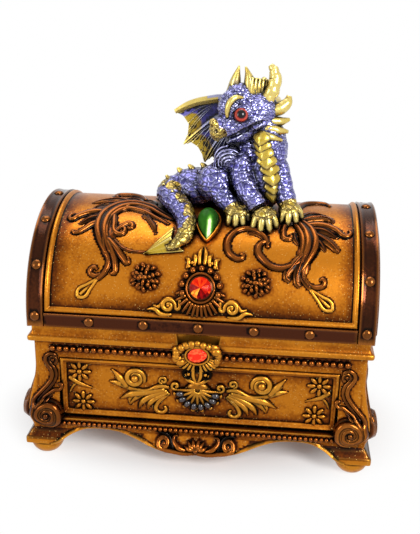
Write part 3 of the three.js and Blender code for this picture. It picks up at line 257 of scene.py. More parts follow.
BLACK_WASH_AND_SHADE = (0.004, 0.002, 0.001)
gold_paint = aged_paint(
    "gold_resin_paint",
    [
        (0.0, (0.45, 0.15, 0.009)), (0.12, (0.28, 0.078, 0.004)), (0.28, (0.10, 0.022, 0.002)),
        (0.42, (0.03, 0.007, 0.002)), (0.62, BLACK_WASH_AND_SHADE),
    ],
    (0.74, 0.37, 0.04), 0.85, 0.32, 0.0, mottle=0.3, blotch=0.36, flake=(0.80, 0.52, 0.16),
)
copper_paint = aged_paint(
    "copper_resin_paint",
    [
        (0.0, (0.10, 0.018, 0.002)), (0.08, (0.055, 0.009, 0.002)), (0.18, (0.018, 0.003, 0.001)),
        (0.34, (0.005, 0.002, 0.001)), (0.5, BLACK_WASH_AND_SHADE),
    ],
    (0.46, 0.145, 0.016), 0.92, 0.2, 0.05, mottle=0.25, blotch=0.25,
)
bronze_paint = aged_paint(
    "dark_resin_paint",
    [
        (0.0, (0.06, 0.014, 0.004)), (0.1, (0.028, 0.006, 0.002)), (0.24, (0.014, 0.003, 0.001)),
        (0.4, (0.005, 0.002, 0.001)), (0.65, (0.002, 0.001, 0.001)),
    ],
    (0.34, 0.11, 0.016), 0.9, 0.18, 0.08, mottle=0.4, blotch=0.7,
)
VIOLET = [
    (0.0, (0.155, 0.14, 0.46)), (0.12, (0.055, 0.048, 0.25)), (0.28, (0.013, 0.011, 0.073)),
    (0.45, (0.004, 0.004, 0.010)),
]
YELLOW_GOLD = [
    (0.0, (0.47, 0.315, 0.018)), (0.12, (0.26, 0.16, 0.008)), (0.28, (0.057, 0.031, 0.004)),
    (0.46, BLACK_WASH_AND_SHADE),
]
dragon_colours = dict(
    stops=VIOLET, brushed_and_highlight=(0.78, 0.79, 0.98), metallic=0.7, roughness=0.22, coat=0.3,
    gilt=(YELLOW_GOLD, (0.86, 0.72, 0.28)),
)
dragon_paint = aged_paint("dragon_resin_paint", mottle=0.12, blotch=0.12, **dragon_colours)
horn_paint = aged_paint("dragon_horn_paint", mottle=0.3, blotch=0.2, **dragon_colours)
black_enamel = aged_paint(
    "black_enamel_paint", [(0.0, (0.012, 0.008, 0.010)), (0.5, (0.003, 0.002, 0.003))],
    (0.05, 0.03, 0.03), 0.0, 0.12, 1.0,
)
painted = (gold_paint, copper_paint, bronze_paint, dragon_paint, horn_paint, black_enamel)
print("painted finishes", [finish.name for finish in painted])

# %% [markdown]
# Brass, felt, stones and eyes are not antiqued, so each gets a small recipe of its own. The cut stones
# are foil backed and flash from orange to deep red: that flash is a painted reflection. Each face carries
# a value of its own, and the colour ramp turns it into a painted flash, with a faint painted glow. The eyes
# carry a value that falls away from the pupil.

# %% Brass, felt, stones and eyes
def brass_metal():
    finish, mix = new_finish("hinge_brass")
    patchy = mix.noise(500.0, 5.0)
    mix.bump(mix.noise(2500.0), 0.2, 0.05)
    mix.finish({
        "Base Color": mix.ramp(patchy, [(0.3, (0.22, 0.13, 0.04)), (0.62, (0.55, 0.38, 0.12))]),
        "Metallic": 1.0, "Roughness": mix.math("MULTIPLY_ADD", patchy, 0.3, 0.2),
    })
    return finish


def felt_cloth():
    finish, mix = new_finish("felt_pile")
    fibres, patchy = mix.noise(2600.0, 6.0), mix.noise(120.0, 3.0)
    uneven = mix.math("MULTIPLY_ADD", patchy, 0.5, mix.math("MULTIPLY", fibres, 0.5))
    mix.bump(fibres, 0.6, 0.25)
    mix.finish({
        "Base Color": mix.ramp(uneven, [(0.3, (0.035, 0.003, 0.006)), (0.7, (0.16, 0.012, 0.022))]),
        "Roughness": 0.95, "Sheen Weight": 0.5, "Sheen Roughness": 0.5,
    })
    return finish


def cut_stone(name, stops, glow):
    finish, mix = new_finish(name)
    # Painted reflection on each face, and the emission is a painted glow.
    painted_flash = mix.math("MULTIPLY_ADD", mix.noise(700.0, 2.0), 0.3, mix.value("facet"))
    colour = mix.ramp(mix.math("SUBTRACT", painted_flash, 0.15), stops)
    mix.finish({
        "Base Color": colour, "Emission Color": colour, "Emission Strength": glow,
        "Roughness": 0.12, "Specular IOR Level": 0.04,
    })
    return finish


def eye_paint():
    finish, mix = new_finish("eye_glass_iris")
    gaze = mix.math("MULTIPLY_ADD", mix.noise(1800.0, 2.0), 0.05, mix.value("gaze"))
    iris = [
        (0.3, (0.02, 0.004, 0.004)), (0.5, (0.16, 0.010, 0.007)), (0.66, (0.52, 0.07, 0.04)),
        (0.82, (0.24, 0.015, 0.010)), (0.87, (0.003, 0.002, 0.002)),
    ]
    mix.finish({
        "Base Color": mix.ramp(gaze, iris), "Roughness": 0.05, "Specular IOR Level": 0.2,
        "Coat Weight": 0.25, "Coat Roughness": 0.02,
    })
    return finish


hinge_brass = brass_metal()
felt_pile = felt_cloth()
round_ruby = cut_stone("red_stone_round", [
    (0.0, (0.05, 0.0, 0.001)), (0.3, (0.24, 0.002, 0.002)), (0.55, (0.55, 0.01, 0.003)),
    (0.78, (0.85, 0.07, 0.006)), (1.0, (1.0, 0.4, 0.04)),
], 0.04)
oval_ruby = cut_stone("red_stone_oval", [
    (0.0, (0.5, 0.008, 0.004)), (0.5, (0.85, 0.03, 0.012)), (1.0, (1.0, 0.15, 0.05)),
], 0.08)
green_drop = cut_stone("green_stone_drop", [
    (0.0, (0.005, 0.022, 0.002)), (0.45, (0.026, 0.14, 0.010)), (0.8, (0.20, 0.48, 0.07)),
    (1.0, (0.75, 0.9, 0.5)),
], 0.03)
eye_glass = eye_paint()
unpainted = (hinge_brass, felt_pile, round_ruby, oval_ruby, green_drop, eye_glass)
print("other finishes", [finish.name for finish in unpainted])

# %% [markdown]
# ## Drawing tools
#
# The chest is covered in scrolls. On the real thing they were carved flat, then pressed on to the curved
# mould. The same is done here: strokes are drawn on a flat sheet as curves with a round section and
# their own width at each point, turned into a mesh, and then the sheet is laid on a wall or rolled over
# the barrel.

# %% Strokes, balls and spirals on a flat sheet
def spread(values, share):
    if len(values) == 1:
        return values[0]
    place = share * (len(values) - 1)
    low = min(int(place), len(values) - 2)
    return values[low] + (values[low + 1] - values[low]) * (place - low)


def clamp(value, low=0.0, high=1.0):
    return min(max(value, low), high)


def draw_strokes(sheet, strokes, sides=1, steps=6, height=1.0):
    """Adds tapering rods through the given points; height squashes them towards the sheet."""
    curve = bpy.data.curves.new("strokes", "CURVE")
    curve.dimensions = "3D"
    curve.bevel_depth = 1.0
    curve.bevel_resolution = sides
    curve.use_fill_caps = True
    for points, widths in strokes:
        spline = curve.splines.new("BEZIER")
        spline.resolution_u = steps
        spline.bezier_points.add(len(points) - 1)
        for i, (knot, point) in enumerate(zip(spline.bezier_points, points)):
            knot.co = Vector(point).to_3d()
            knot.radius = spread(widths, i / (len(points) - 1))
            knot.handle_left_type = knot.handle_right_type = "AUTO"
    holder = bpy.data.objects.new("strokes", curve)
    mesh = bpy.data.meshes.new_from_object(holder)
    before = set(sheet.verts)
    sheet.from_mesh(mesh)
    added = [v for v in sheet.verts if v not in before]
    bmesh.ops.scale(sheet, vec=(1, 1, height), verts=added)
    bmesh.ops.remove_doubles(sheet, verts=added, dist=1e-4)
    bpy.data.objects.remove(holder)
    bpy.data.curves.remove(curve)
    bpy.data.meshes.remove(mesh)


def beside(points, widths, share):
    """The same path moved sideways on the sheet by a share of its width."""
    moved = []
    last = len(points) - 1
    for i, point in enumerate(points):
        ahead = Vector(points[min(i + 1, last)]).to_2d() - Vector(points[max(i - 1, 0)]).to_2d()
        side = Vector((-ahead.y, ahead.x, 0)).normalized() * spread(widths, i / last) * share
        moved.append(Vector(point).to_3d() + side)
    return moved


def once(items):
    """Every item one time, in the order met, so that each run of the script builds in the same order."""
    return list(dict.fromkeys(items))


def broader(strokes, times):
    return [(points, [w * times for w in widths]) for points, widths in strokes]


def both_sides(strokes):
    """Strokes of the right half and their mirror images."""
    return [
        ([(side * u, v, w) for u, v, w in points], widths) for side in (-1, 1) for points, widths in strokes
    ]


def draw_leaves(sheet, strokes):
    """Acanthus: a long stem is a flat blade with one or two folds, a short leaf is broad with a vein."""
    stems = [stroke for stroke in strokes if len(stroke[0]) > 4]
    leaves = [stroke for stroke in strokes if len(stroke[0]) <= 4]
    draw_strokes(sheet, broader(stems, 1.7), height=0.4)
    draw_strokes(sheet, broader(leaves, 1.75), sides=2, steps=8, height=0.55)
    folds = []
    for points, widths in stems:
        for share in (-0.62, 0.62) if max(widths) > 1.6 else (0.0,):
            line = [p + Vector((0, 0, 0.25 * max(widths))) for p in beside(points, widths, share)]
            folds.append((line, [w * (0.66 if share else 1.05) for w in widths]))
    for points, widths in leaves:
        rises = [1.05 * spread(widths, i / (len(points) - 1)) for i in range(len(points))]
        vein = [Vector(p) + Vector((0, 0, rise)) for p, rise in zip(points, rises)]
        folds.append((vein, [w * 0.3 for w in widths]))
    draw_strokes(sheet, folds, sides=2, height=0.85)


def add_ball(sheet, place, radii, turn=None, across=10, along=6, finish=0):
    matrix = Matrix.LocRotScale(Vector(place).to_3d(), turn, Vector(radii))
    made = bmesh.ops.create_uvsphere(sheet, u_segments=across, v_segments=along, radius=1, matrix=matrix)
    if finish:
        for face in once(f for v in made["verts"] for f in v.link_faces):
            face.material_index = finish
    return made["verts"]


def spiral(middle, start, end, from_angle, turns, count):
    points = []
    for i in range(count):
        share = i / (count - 1)
        angle = math.radians(from_angle + 360 * turns * share)
        radius = start + (end - start) * share
        points.append((middle[0] + radius * math.cos(angle), middle[1] + radius * math.sin(angle)))
    return points


def lay(sheet, place):
    for vert in sheet.verts:
        vert.co = place(vert.co)


def shift(sheet, *way):
    bmesh.ops.translate(sheet, vec=way, verts=sheet.verts)


def spin(sheet, degrees):
    turn = Matrix.Rotation(math.radians(degrees), 3, "Z")
    bmesh.ops.rotate(sheet, cent=(0, 0, 0), matrix=turn, verts=sheet.verts)


def mirror_x(sheet):
    bmesh.ops.scale(sheet, vec=(-1, 1, 1), verts=sheet.verts)
    return sheet


def as_mesh(name, sheet):
    """A mesh of what is drawn on the sheet, which is used up."""
    mesh = bpy.data.meshes.new(name)
    sheet.to_mesh(mesh)
    sheet.free()
    return mesh


def add_sheet(sheet, other):
    """Adds what is drawn on another sheet, which is used up."""
    mesh = as_mesh("other", other)
    sheet.from_mesh(mesh)
    bpy.data.meshes.remove(mesh)


def finish_piece(name, sheet, body, finishes, nodes=(), crisp=40, fix=True):
    """Makes the drawn sheet a piece in metres that rides on a body and stands for its CAD nodes."""
    if fix:
        bmesh.ops.recalc_face_normals(sheet, faces=sheet.faces)
    bmesh.ops.scale(sheet, vec=(MM, MM, MM), verts=sheet.verts)
    mesh = as_mesh(name, sheet)
    mesh.shade_smooth()
    mesh.set_sharp_from_angle(angle=math.radians(crisp))
    for finish in finishes:
        mesh.materials.append(finish)
    piece = put(name, mesh)
    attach(piece, body)
    if nodes:
        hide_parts(*nodes)
    dressed[body].append(piece)
    print(name, len(mesh.vertices), "points")
    return piece


def finish_pair(name, draw, body, finishes, node, crisp):
    """A piece for the right side and its mirror image for the left."""
    finish_piece(f"{name}_right", draw(), body, finishes, [f"{node}_right"], crisp)
    finish_piece(f"{name}_left", mirror_x(draw()), body, finishes, [f"{node}_left"], crisp)


dressed = {"base": [], "lid": []}

# %% [markdown]
# The base walls are an ogee: hollow under the rim, full near the foot, hollow again over the plinth. One
# list of heights and outsets describes that line, and it serves twice: to build the walls, and to lay
# ornaments on them at the right depth.

# %% The line of the walls
HALF_X, HALF_Y = 70.0, 43.0
PLINTH_TOP, WAIST, BULGE, NECK, RIM_LOW = 9.6, 13.4, 20.0, 43.0, 53.4
PLINTH_OUT, WAIST_OUT, BULGE_OUT, NECK_OUT = 2.4, -0.4, 1.0, -2.2


def ease(start, end, share):
    return start + (end - start) * (1 - math.cos(math.pi * clamp(share))) / 2


def outset(z):
    if z < PLINTH_TOP:
        return PLINTH_OUT
    if z < WAIST:
        return PLINTH_OUT + (WAIST_OUT - PLINTH_OUT) * (z - PLINTH_TOP) / (WAIST - PLINTH_TOP)
    if z < BULGE:
        return ease(WAIST_OUT, BULGE_OUT, (z - WAIST) / (BULGE - WAIST))
    return ease(BULGE_OUT, NECK_OUT, (z - BULGE) / (NECK - BULGE))


def front_wall(point):
    return Vector((point.x, -HALF_Y - outset(point.y) - point.z, point.y))


def corner_wall(half_along, half_out):
    """For a corner scroll: across is measured in from the left corner of a wall, seen from outside."""

    def place(point):
        grow = outset(point.y)
        return Vector((point.x - half_along - grow, -half_out - grow - point.z, point.y))

    return place


def flat_wall(y):
    return lambda point: Vector((point.x, y - point.z, point.y))


def rectangle_ring(sheet, half_u, half_v, corner, z):
    """A closed ring of edges with rounded corners."""
    verts = []
    for centre_u, centre_v, start in ((1, 1, 0), (-1, 1, 90), (-1, -1, 180), (1, -1, 270)):
        for i in range(4):
            angle = math.radians(start + 30 * i)
            verts.append(sheet.verts.new((
                centre_u * (half_u - corner) + corner * math.cos(angle),
                centre_v * (half_v - corner) + corner * math.sin(angle), z,
            )))
    return [sheet.edges.new((a, b)) for a, b in zip(verts, verts[1:] + verts[:1])]


def of_kind(made, kind):
    return [part for part in made["geom"] if isinstance(part, kind)]


def moulded(half_u, half_v, corner, stations, closed=False):
    """Draws a rectangle up through (outset, height) stations, keeping its corners mitred."""
    sheet = bmesh.new()
    start, low = stations[0]
    first = ring = rectangle_ring(sheet, half_u + start, half_v + start, corner, low)
    for (out0, z0), (out1, z1) in zip(stations, stations[1:]):
        made = bmesh.ops.extrude_edge_only(sheet, edges=ring)
        ring = of_kind(made, BMEdge)
        grow = out1 - out0
        for vert in of_kind(made, BMVert):
            side_x, side_y = (1 if value > 0 else -1 for value in vert.co.xy)
            vert.co += Vector((side_x * grow, side_y * grow, z1 - z0))
    if closed:
        bmesh.ops.bridge_loops(sheet, edges=first + ring)
    else:
        bmesh.ops.contextual_create(sheet, geom=first)
        bmesh.ops.contextual_create(sheet, geom=ring)
    bmesh.ops.recalc_face_normals(sheet, faces=sheet.faces)
    return sheet


def slice_up(sheet, axis, start, stop, pitch, faces=None):
    """Cuts the faces into narrow strips, so that paint values can change across them."""
    direction = Vector((axis == 0, axis == 1, axis == 2))
    count = round((stop - start) / pitch)
    for i in range(count + 1):
        chosen = faces(sheet) if faces else list(sheet.faces)
        edges, verts = once(e for f in chosen for e in f.edges), once(v for f in chosen for v in f.verts)
        place = direction * (start + (stop - start) * i / count)
        bmesh.ops.bisect_plane(sheet, geom=edges + verts + chosen, plane_co=place, plane_no=direction)


print("outset at the bulge", outset(BULGE), "and at the neck", outset(NECK))

# %% [markdown]
# ## Base walls
#
# The walls could be modelled face by face, but a moulded box is simpler to think of as a stack of
# rounded rectangles, each a little wider or narrower than the last. What is missing from that stack is
# then cut away: the tray, the hollow underneath, the arches, the sunk panels and the finger notch.
# Boolean modifiers do the cutting, because the arches meet the bowed walls along lines that would be
# hard to draw by hand.

# %% Base walls
PANEL_Y, PANEL_X = 39.6, 66.6
PANEL_HALF_X, PANEL_HALF_Y, PANEL_LOW, PANEL_HIGH = 57.5, 30.5, 19.0, 46.0
TRAY_HALF_X, TRAY_HALF_Y, TRAY_FLOOR = 62.3, 35.3, 19.0
UNDER_HALF_X, UNDER_HALF_Y, UNDER_TOP = 63.0, 36.0, 15.0
HINGE_IN, HINGE_OUT, HINGE_SEAT, HINGE_LOW = 24.5, 41.5, 40.7, 54.85
NOTCH_HALF, NOTCH_LOW, NOTCH_SPLAY = 8.0, 54.2, 1.5
ARCH_OUTER, ARCH_INNER, SIDE_ARCH = 60.0, 13.0, 25.0
ARCH_FOOT, ARCH_RISE = 6.6, 8.2
ARCH_PULL = ARCH_FOOT + ARCH_RISE * 4 / 3
FOOT_X, FOOT_Y = 65.0, 38.0
BELOW, ABOVE, AROUND = -3.0, 70.0, 80.0


def prism(points, reach):
    """A flat outline drawn out in one direction."""
    sheet = bmesh.new()
    face = sheet.faces.new([sheet.verts.new(point) for point in points])
    made = bmesh.ops.extrude_face_region(sheet, geom=[face])
    bmesh.ops.translate(sheet, vec=reach, verts=of_kind(made, BMVert))
    bmesh.ops.recalc_face_normals(sheet, faces=sheet.faces)
    return sheet


def cutter(points, axis, low, high):
    """A flat outline drawn out along X or Y; the outline is in the other level direction and in Z."""
    if axis == 0:
        return prism([(low, u, v) for u, v in points], (high - low, 0, 0))
    return prism([(u, low, v) for u, v in points], (0, high - low, 0))


def box_cutter(x0, x1, y0, y1, z0, z1):
    return cutter([(x0, z0), (x1, z0), (x1, z1), (x0, z1)], 1, y0, y1)


def hinge_cutters(low, high):
    """Room for the hinge leaves on both sides of the back."""
    places = ((HINGE_IN, HINGE_OUT), (-HINGE_OUT, -HINGE_IN))
    return [box_cutter(*place, HINGE_SEAT, AROUND, low, high) for place in places]


def bezier(a, b, c, d, count):
    points = []
    for i in range(count + 1):
        s = i / count
        weights = ((1 - s) ** 3, 3 * s * (1 - s) ** 2, 3 * s * s * (1 - s), s ** 3)
        points.append(tuple(sum(w * p[k] for w, p in zip(weights, (a, b, c, d))) for k in (0, 1)))
    return points


def arch_line(start, end, lean=0.2, reach=0.55):
    """An arch of the skirt; lean and reach say where its two pulls stand along its width."""
    first, second = start + (end - start) * lean, start + (end - start) * reach
    return bezier((start, ARCH_FOOT), (first, ARCH_PULL), (second, ARCH_PULL), (end, ARCH_FOOT), 20)


def arch_cutter(start, end, axis, **shape):
    return cutter([(start, BELOW)] + arch_line(start, end, **shape) + [(end, BELOW)], axis, -AROUND, AROUND)


def after_modifiers(thing):
    """The shape that an object's modifiers make of it, as a new sheet."""
    sheet = bmesh.new()
    done = thing.evaluated_get(bpy.context.evaluated_depsgraph_get())
    sheet.from_mesh(bpy.data.meshes.new_from_object(done))
    return sheet


def cut_away(sheet, cutters):
    blank = put("blank", as_mesh("blank", sheet))
    tools = [put("tool", as_mesh("tool", tool)) for tool in cutters]
    for tool in tools:
        modifier = blank.modifiers.new("cut", "BOOLEAN")
        modifier.operation = "DIFFERENCE"
        modifier.solver = "EXACT"
        modifier.object = tool
    result = after_modifiers(blank)
    for thing in [blank, *tools]:
        bpy.data.objects.remove(thing)
    bmesh.ops.remove_doubles(result, verts=result.verts, dist=1e-4)
    return result


def wall_stations():
    plinth = [
        (2.0, 6.6), (2.35, 6.8), (2.45, 7.6), (2.4, 9.2), (2.2, 9.55), (1.7, 9.9), (1.2, 10.7), (0.6, 11.9),
        (-0.05, 12.8),
    ]
    heights = [WAIST + (RIM_LOW - 0.6 - WAIST) * i / 26 for i in range(27)]
    rim = [
        (-2.0, 53.2), (-0.7, 53.4), (-0.2, 53.7), (0.0, 54.3), (0.0, 55.2), (-0.25, 55.7), (-0.8, 56.0),
        (-1.2, 56.5), (-1.45, 57.2), (-1.6, 58.2), (-1.6, 59.4), (-1.85, 60.0),
    ]
    return plinth + [(outset(z), z) for z in heights] + rim


def wall_cutters():
    wide, top = NOTCH_HALF + NOTCH_SPLAY, 63
    notch = [(-NOTCH_HALF, NOTCH_LOW), (NOTCH_HALF, NOTCH_LOW), (wide, top), (-wide, top)]
    tools = [
        box_cutter(-TRAY_HALF_X, TRAY_HALF_X, -TRAY_HALF_Y, TRAY_HALF_Y, TRAY_FLOOR, ABOVE),
        box_cutter(-UNDER_HALF_X, UNDER_HALF_X, -UNDER_HALF_Y, UNDER_HALF_Y, BELOW, UNDER_TOP),
        arch_cutter(-ARCH_OUTER, -ARCH_INNER, 1),
        arch_cutter(ARCH_OUTER, ARCH_INNER, 1),
        arch_cutter(SIDE_ARCH, -SIDE_ARCH, 0, lean=0.2, reach=0.8),
        cutter(notch, 1, -AROUND, -39.7),
        *hinge_cutters(HINGE_LOW, ABOVE),
    ]
    for side in (-1, 1):
        y_range, x_range = (sorted((side * near, side * AROUND)) for near in (PANEL_Y, PANEL_X))
        tools.append(box_cutter(-PANEL_HALF_X, PANEL_HALF_X, *y_range, PANEL_LOW, PANEL_HIGH))
        tools.append(box_cutter(*x_range, -PANEL_HALF_Y, PANEL_HALF_Y, PANEL_LOW, PANEL_HIGH))
    return tools


def on_front_panel(sheet):
    return [f for f in sheet.faces if abs(f.calc_center_median().y + PANEL_Y) < 1e-3 and f.normal.y < -0.9]


def on_front_wall(face):
    middle = face.calc_center_median()
    return len(face.verts) == 4 and 13 < middle.z < 53 and middle.y < -40


def base_walls():
    sheet = cut_away(moulded(HALF_X, HALF_Y, 1.0, wall_stations()), wall_cutters())
    slice_up(sheet, 0, -69, 69, 1.6)
    slice_up(sheet, 1, -42, 42, 1.6)
    slice_up(sheet, 2, 8.5, 52.5, 1.6)
    slice_up(sheet, 0, -56.6, 56.6, 0.8, on_front_panel)
    slice_up(sheet, 2, 19.8, 45.2, 0.8, on_front_panel)
    fine = once(e for f in sheet.faces if on_front_wall(f) for e in f.edges)
    bmesh.ops.subdivide_edges(sheet, edges=fine, cuts=1, use_grid_fill=True)
    return sheet


def add_feet(sheet):
    """Four balls, cut flat where they stand."""
    for x in (-FOOT_X, FOOT_X):
        for y in (-FOOT_Y, FOOT_Y):
            foot = add_ball(sheet, (x, y, 5.6), (7.0, 7.0, 6.0), across=24, along=12)
            edges = once(e for v in foot for e in v.link_edges)
            faces = once(f for v in foot for f in v.link_faces)
            ball = foot + edges + faces
            bmesh.ops.bisect_plane(
                sheet, geom=ball, plane_co=(0, 0, 0.02), plane_no=(0, 0, -1), clear_outer=True,
            )
    bmesh.ops.holes_fill(sheet, edges=[e for e in sheet.edges if e.is_boundary])


def add_lips(sheet):
    """Raised edges along the arches of the front and the back."""
    for side in (-1, 1):
        for half in (-1, 1):
            line = [(x, z + 0.1) for x, z in arch_line(half * ARCH_OUTER, half * ARCH_INNER)]
            path = [(half * (ARCH_OUTER + 1.5), 6.9), *line[1:-1:2], (half * (ARCH_INNER - 1), 6.9)]
            lip = bmesh.new()
            draw_strokes(lip, [(path, [0.5, 0.8, 0.8, 0.8, 0.5])], height=0.8)
            lay(lip, lambda p: Vector((p.x, side * (HALF_Y + outset(p.y) + p.z - 0.1), p.y)))
            add_sheet(sheet, lip)


walls = base_walls()
add_feet(walls)
add_lips(walls)
base_piece = finish_piece("base_walls", walls, "base", [gold_paint], ["base_shell"], fix=False)

# %% [markdown]
# ## Felt, panel frames and beads
#
# A felt pad lies on the floor of the tray. It is a sheet of cloth, so it is made thin and a little uneven.
# The panel frames are the same kind of stack as the walls, but its last ring is bridged back to its first.
# The bead rows are simple balls, kept to few faces because there are many.

# %% Felt pad
FELT_WIDE, FELT_DEEP, FELT_THICK, FELT_LOW = 123.6, 69.6, 1.2, 19.3


def felt_pad():
    sheet = bmesh.new()
    bmesh.ops.create_grid(sheet, x_segments=48, y_segments=28, size=0.5)
    bmesh.ops.scale(sheet, vec=(FELT_WIDE, FELT_DEEP, 1), verts=sheet.verts)
    for vert in sheet.verts:
        vert.co.z = FELT_LOW + FELT_THICK + 0.12 * noise.noise(vert.co * 0.12)
    bmesh.ops.recalc_face_normals(sheet, faces=sheet.faces)
    bmesh.ops.solidify(sheet, geom=sheet.faces[:], thickness=FELT_THICK)
    return sheet


felt = finish_piece("felt_lining", felt_pad(), "base", [felt_pile], ["base_lining"])

# %% Panel frames
FRAME_HALF_X, FRAME_HALF_Y, FRAME_HALF_Z, FRAME_MIDDLE = 57.25, 30.25, 13.25, 32.5
FRAME_LINE = [
    (0.0, -0.2), (0.0, 1.2), (-0.35, 1.7), (-0.9, 1.85), (-1.35, 1.6), (-1.65, 1.05), (-1.95, 0.9),
    (-2.3, 0.75), (-2.6, 0.3), (-2.6, -0.2),
]


def panel_frame(half_wide, place):
    sheet = moulded(half_wide, FRAME_HALF_Z, 0.3, FRAME_LINE, closed=True)
    shift(sheet, 0, FRAME_MIDDLE, 0)
    slice_up(sheet, 0, -half_wide + 2, half_wide - 2, 2.0)
    slice_up(sheet, 1, 21, 44, 2.0)
    lay(sheet, place)
    return sheet


def side_wall(x):
    return lambda point: Vector((math.copysign(abs(x) + point.z, x), point.x, point.y))


for name, half_wide, place in (
    ("front", FRAME_HALF_X, flat_wall(-PANEL_Y)),
    ("back", FRAME_HALF_X, lambda p: Vector((p.x, PANEL_Y + p.z, p.y))),
    ("right", FRAME_HALF_Y, side_wall(PANEL_X)),
    ("left", FRAME_HALF_Y, side_wall(-PANEL_X)),
):
    drawing = panel_frame(half_wide, place)
    finish_piece(f"panel_moulding_{name}", drawing, "base", [gold_paint], [f"panel_frame_{name}"])

# %% Bead rows
FOUR_WALLS = ((HALF_X, HALF_Y, 0), (HALF_Y, HALF_X, 90), (HALF_X, HALF_Y, 180), (HALF_Y, HALF_X, 270))
SHELL_ROOM = 10.5


def bead_row(z, radius, pitch, proud, gap=0.0):
    """Beads round all four walls; gap leaves out those in the middle of the front."""
    sheet = bmesh.new()
    for half_along, half_out, turn in FOUR_WALLS:
        facing = Matrix.Rotation(math.radians(turn), 4, "Z")
        count = int(2 * (half_along - 9.6) / pitch)
        for i in range(count + 1):
            across = (i - count / 2) * pitch
            if turn or abs(across) >= gap:
                place = facing @ Vector((across, -half_out - outset(z) - proud, z))
                add_ball(sheet, place, (radius, radius, radius), across=8, along=6)
    return sheet


for name, row in (
    ("upper", bead_row(50.2, 1.4, 2.85, 0.55, SHELL_ROOM)),
    ("lower", bead_row(16.6, 1.05, 2.15, 0.45)),
):
    finish_piece(f"beads_{name}", row, "base", [copper_paint], [f"bead_row_{name}"], crisp=180)

# %% [markdown]
# ## Scrolls on the base
#
# Each corner carries a tall S scroll on both of its faces: a small curl under the rim, a stem, and a big
# volute wound over a low dome. The stem and the spiral are strokes; the dome is a ball whose height also
# lifts the strokes that cross it. One drawing serves all eight places, mirrored where needed.

# %% Corner scrolls
VOLUTE = (8.2, 21.0)
VOLUTE_REACH, VOLUTE_RISE = 6.9, 2.5


def volute_dome(u, v):
    away = math.hypot(u - VOLUTE[0], v - VOLUTE[1]) / VOLUTE_REACH
    return VOLUTE_RISE * math.sqrt(max(1 - away ** 4, 0))


def corner_scroll():
    sheet = bmesh.new()
    curl = [(8.4, 44.2), (7.4, 43.8), (6.6, 44.7), (7.2, 45.8), (8.6, 45.6), (9.2, 44.2), (8.4, 42.6)]
    stem = [
        (9.4, 45.8), (8.2, 47.2), (5.8, 47.0), (4.5, 44.8), (5.4, 42.2), (7.2, 39.5), (7.6, 36.8),
        (6.3, 33.6), (4.3, 30.6), (2.3, 27.3),
    ]
    strand = [(10.8, 34.2), (12.4, 33.6), (12.0, 31.8), (10.0, 31.6), (8.4, 30.4), (6.0, 28.0), (4.2, 25.2)]
    wound = spiral(VOLUTE, VOLUTE_REACH, 1.0, 152, 2.3, 22)
    inner = spiral(VOLUTE, 5.5, 0.9, 168, 1.9, 18)
    stem_widths = [0.7, 0.9, 1.1, 1.2, 1.3, 1.4, 1.5, 1.5, 1.5, 1.4]
    draw_strokes(sheet, [
        (curl, [0.6, 0.7, 0.9, 1.0, 0.9]),
        (stem + wound, [0.8, 1.1, 1.2, 1.3, 1.25, 1.15, 1.0, 0.9, 0.75]),
        (beside(stem, stem_widths, 1.1)[2:], [0.5, 0.9, 0.9, 0.9, 0.8]),
        (strand + inner, [0.8, 1.0, 1.0, 1.0, 0.95, 0.85, 0.75, 0.6]),
        ([(9.6, 31.0), (8.6, 28.8), (6.6, 26.6)], [0.4, 0.7, 0.6]),
    ])
    add_ball(sheet, (7.8, 44.8, 0.5), (0.9, 0.9, 0.9))
    for vert in sheet.verts:
        vert.co.z += volute_dome(vert.co.x, vert.co.y)
    dome = add_ball(sheet, (*VOLUTE, 0), (1, 1, 1), across=24, along=12)
    for vert in dome:
        flat = Vector((vert.co.x - VOLUTE[0], vert.co.y - VOLUTE[1]))
        vert.co.z *= VOLUTE_RISE * math.sqrt(1 + flat.length_squared)
        vert.co.xy = Vector(VOLUTE) + flat * VOLUTE_REACH
    add_ball(sheet, (*VOLUTE, VOLUTE_RISE), (1.4, 1.4, 1.3))
    return sheet


FRONT, RIGHT, BACK, LEFT = FOUR_WALLS
for names, (half_along, half_out, turn) in (
    (("front_left", "front_right"), FRONT), (("back_right", "back_left"), BACK),
    (("right_front", "right_back"), RIGHT), (("left_back", "left_front"), LEFT),
):
    for name in names:
        drawing = corner_scroll()
        lay(drawing, corner_wall(half_along, half_out))
        if name == names[1]:
            mirror_x(drawing)
        spin(drawing, turn)
        finish_piece(
            f"corner_scroll_{name}", drawing, "base", [copper_paint],
            [f"scroll_{name}"], crisp=180,
        )

# %% [markdown]
# The front of the base has the richest work: a lumpy shell round an oval red stone, a fan with black
# drops under it, two leaf sprays with flowers, and a leaf bracket on the skirt. All of it is strokes and
# balls on a flat sheet. The lumps of the shell get sizes from a seeded random generator, so they look
# pinched by hand, and stay the same every time the script is run.

# %% Shell, oval stone and fan
SHELL_Y = -43.25
lumps = random.Random(7)


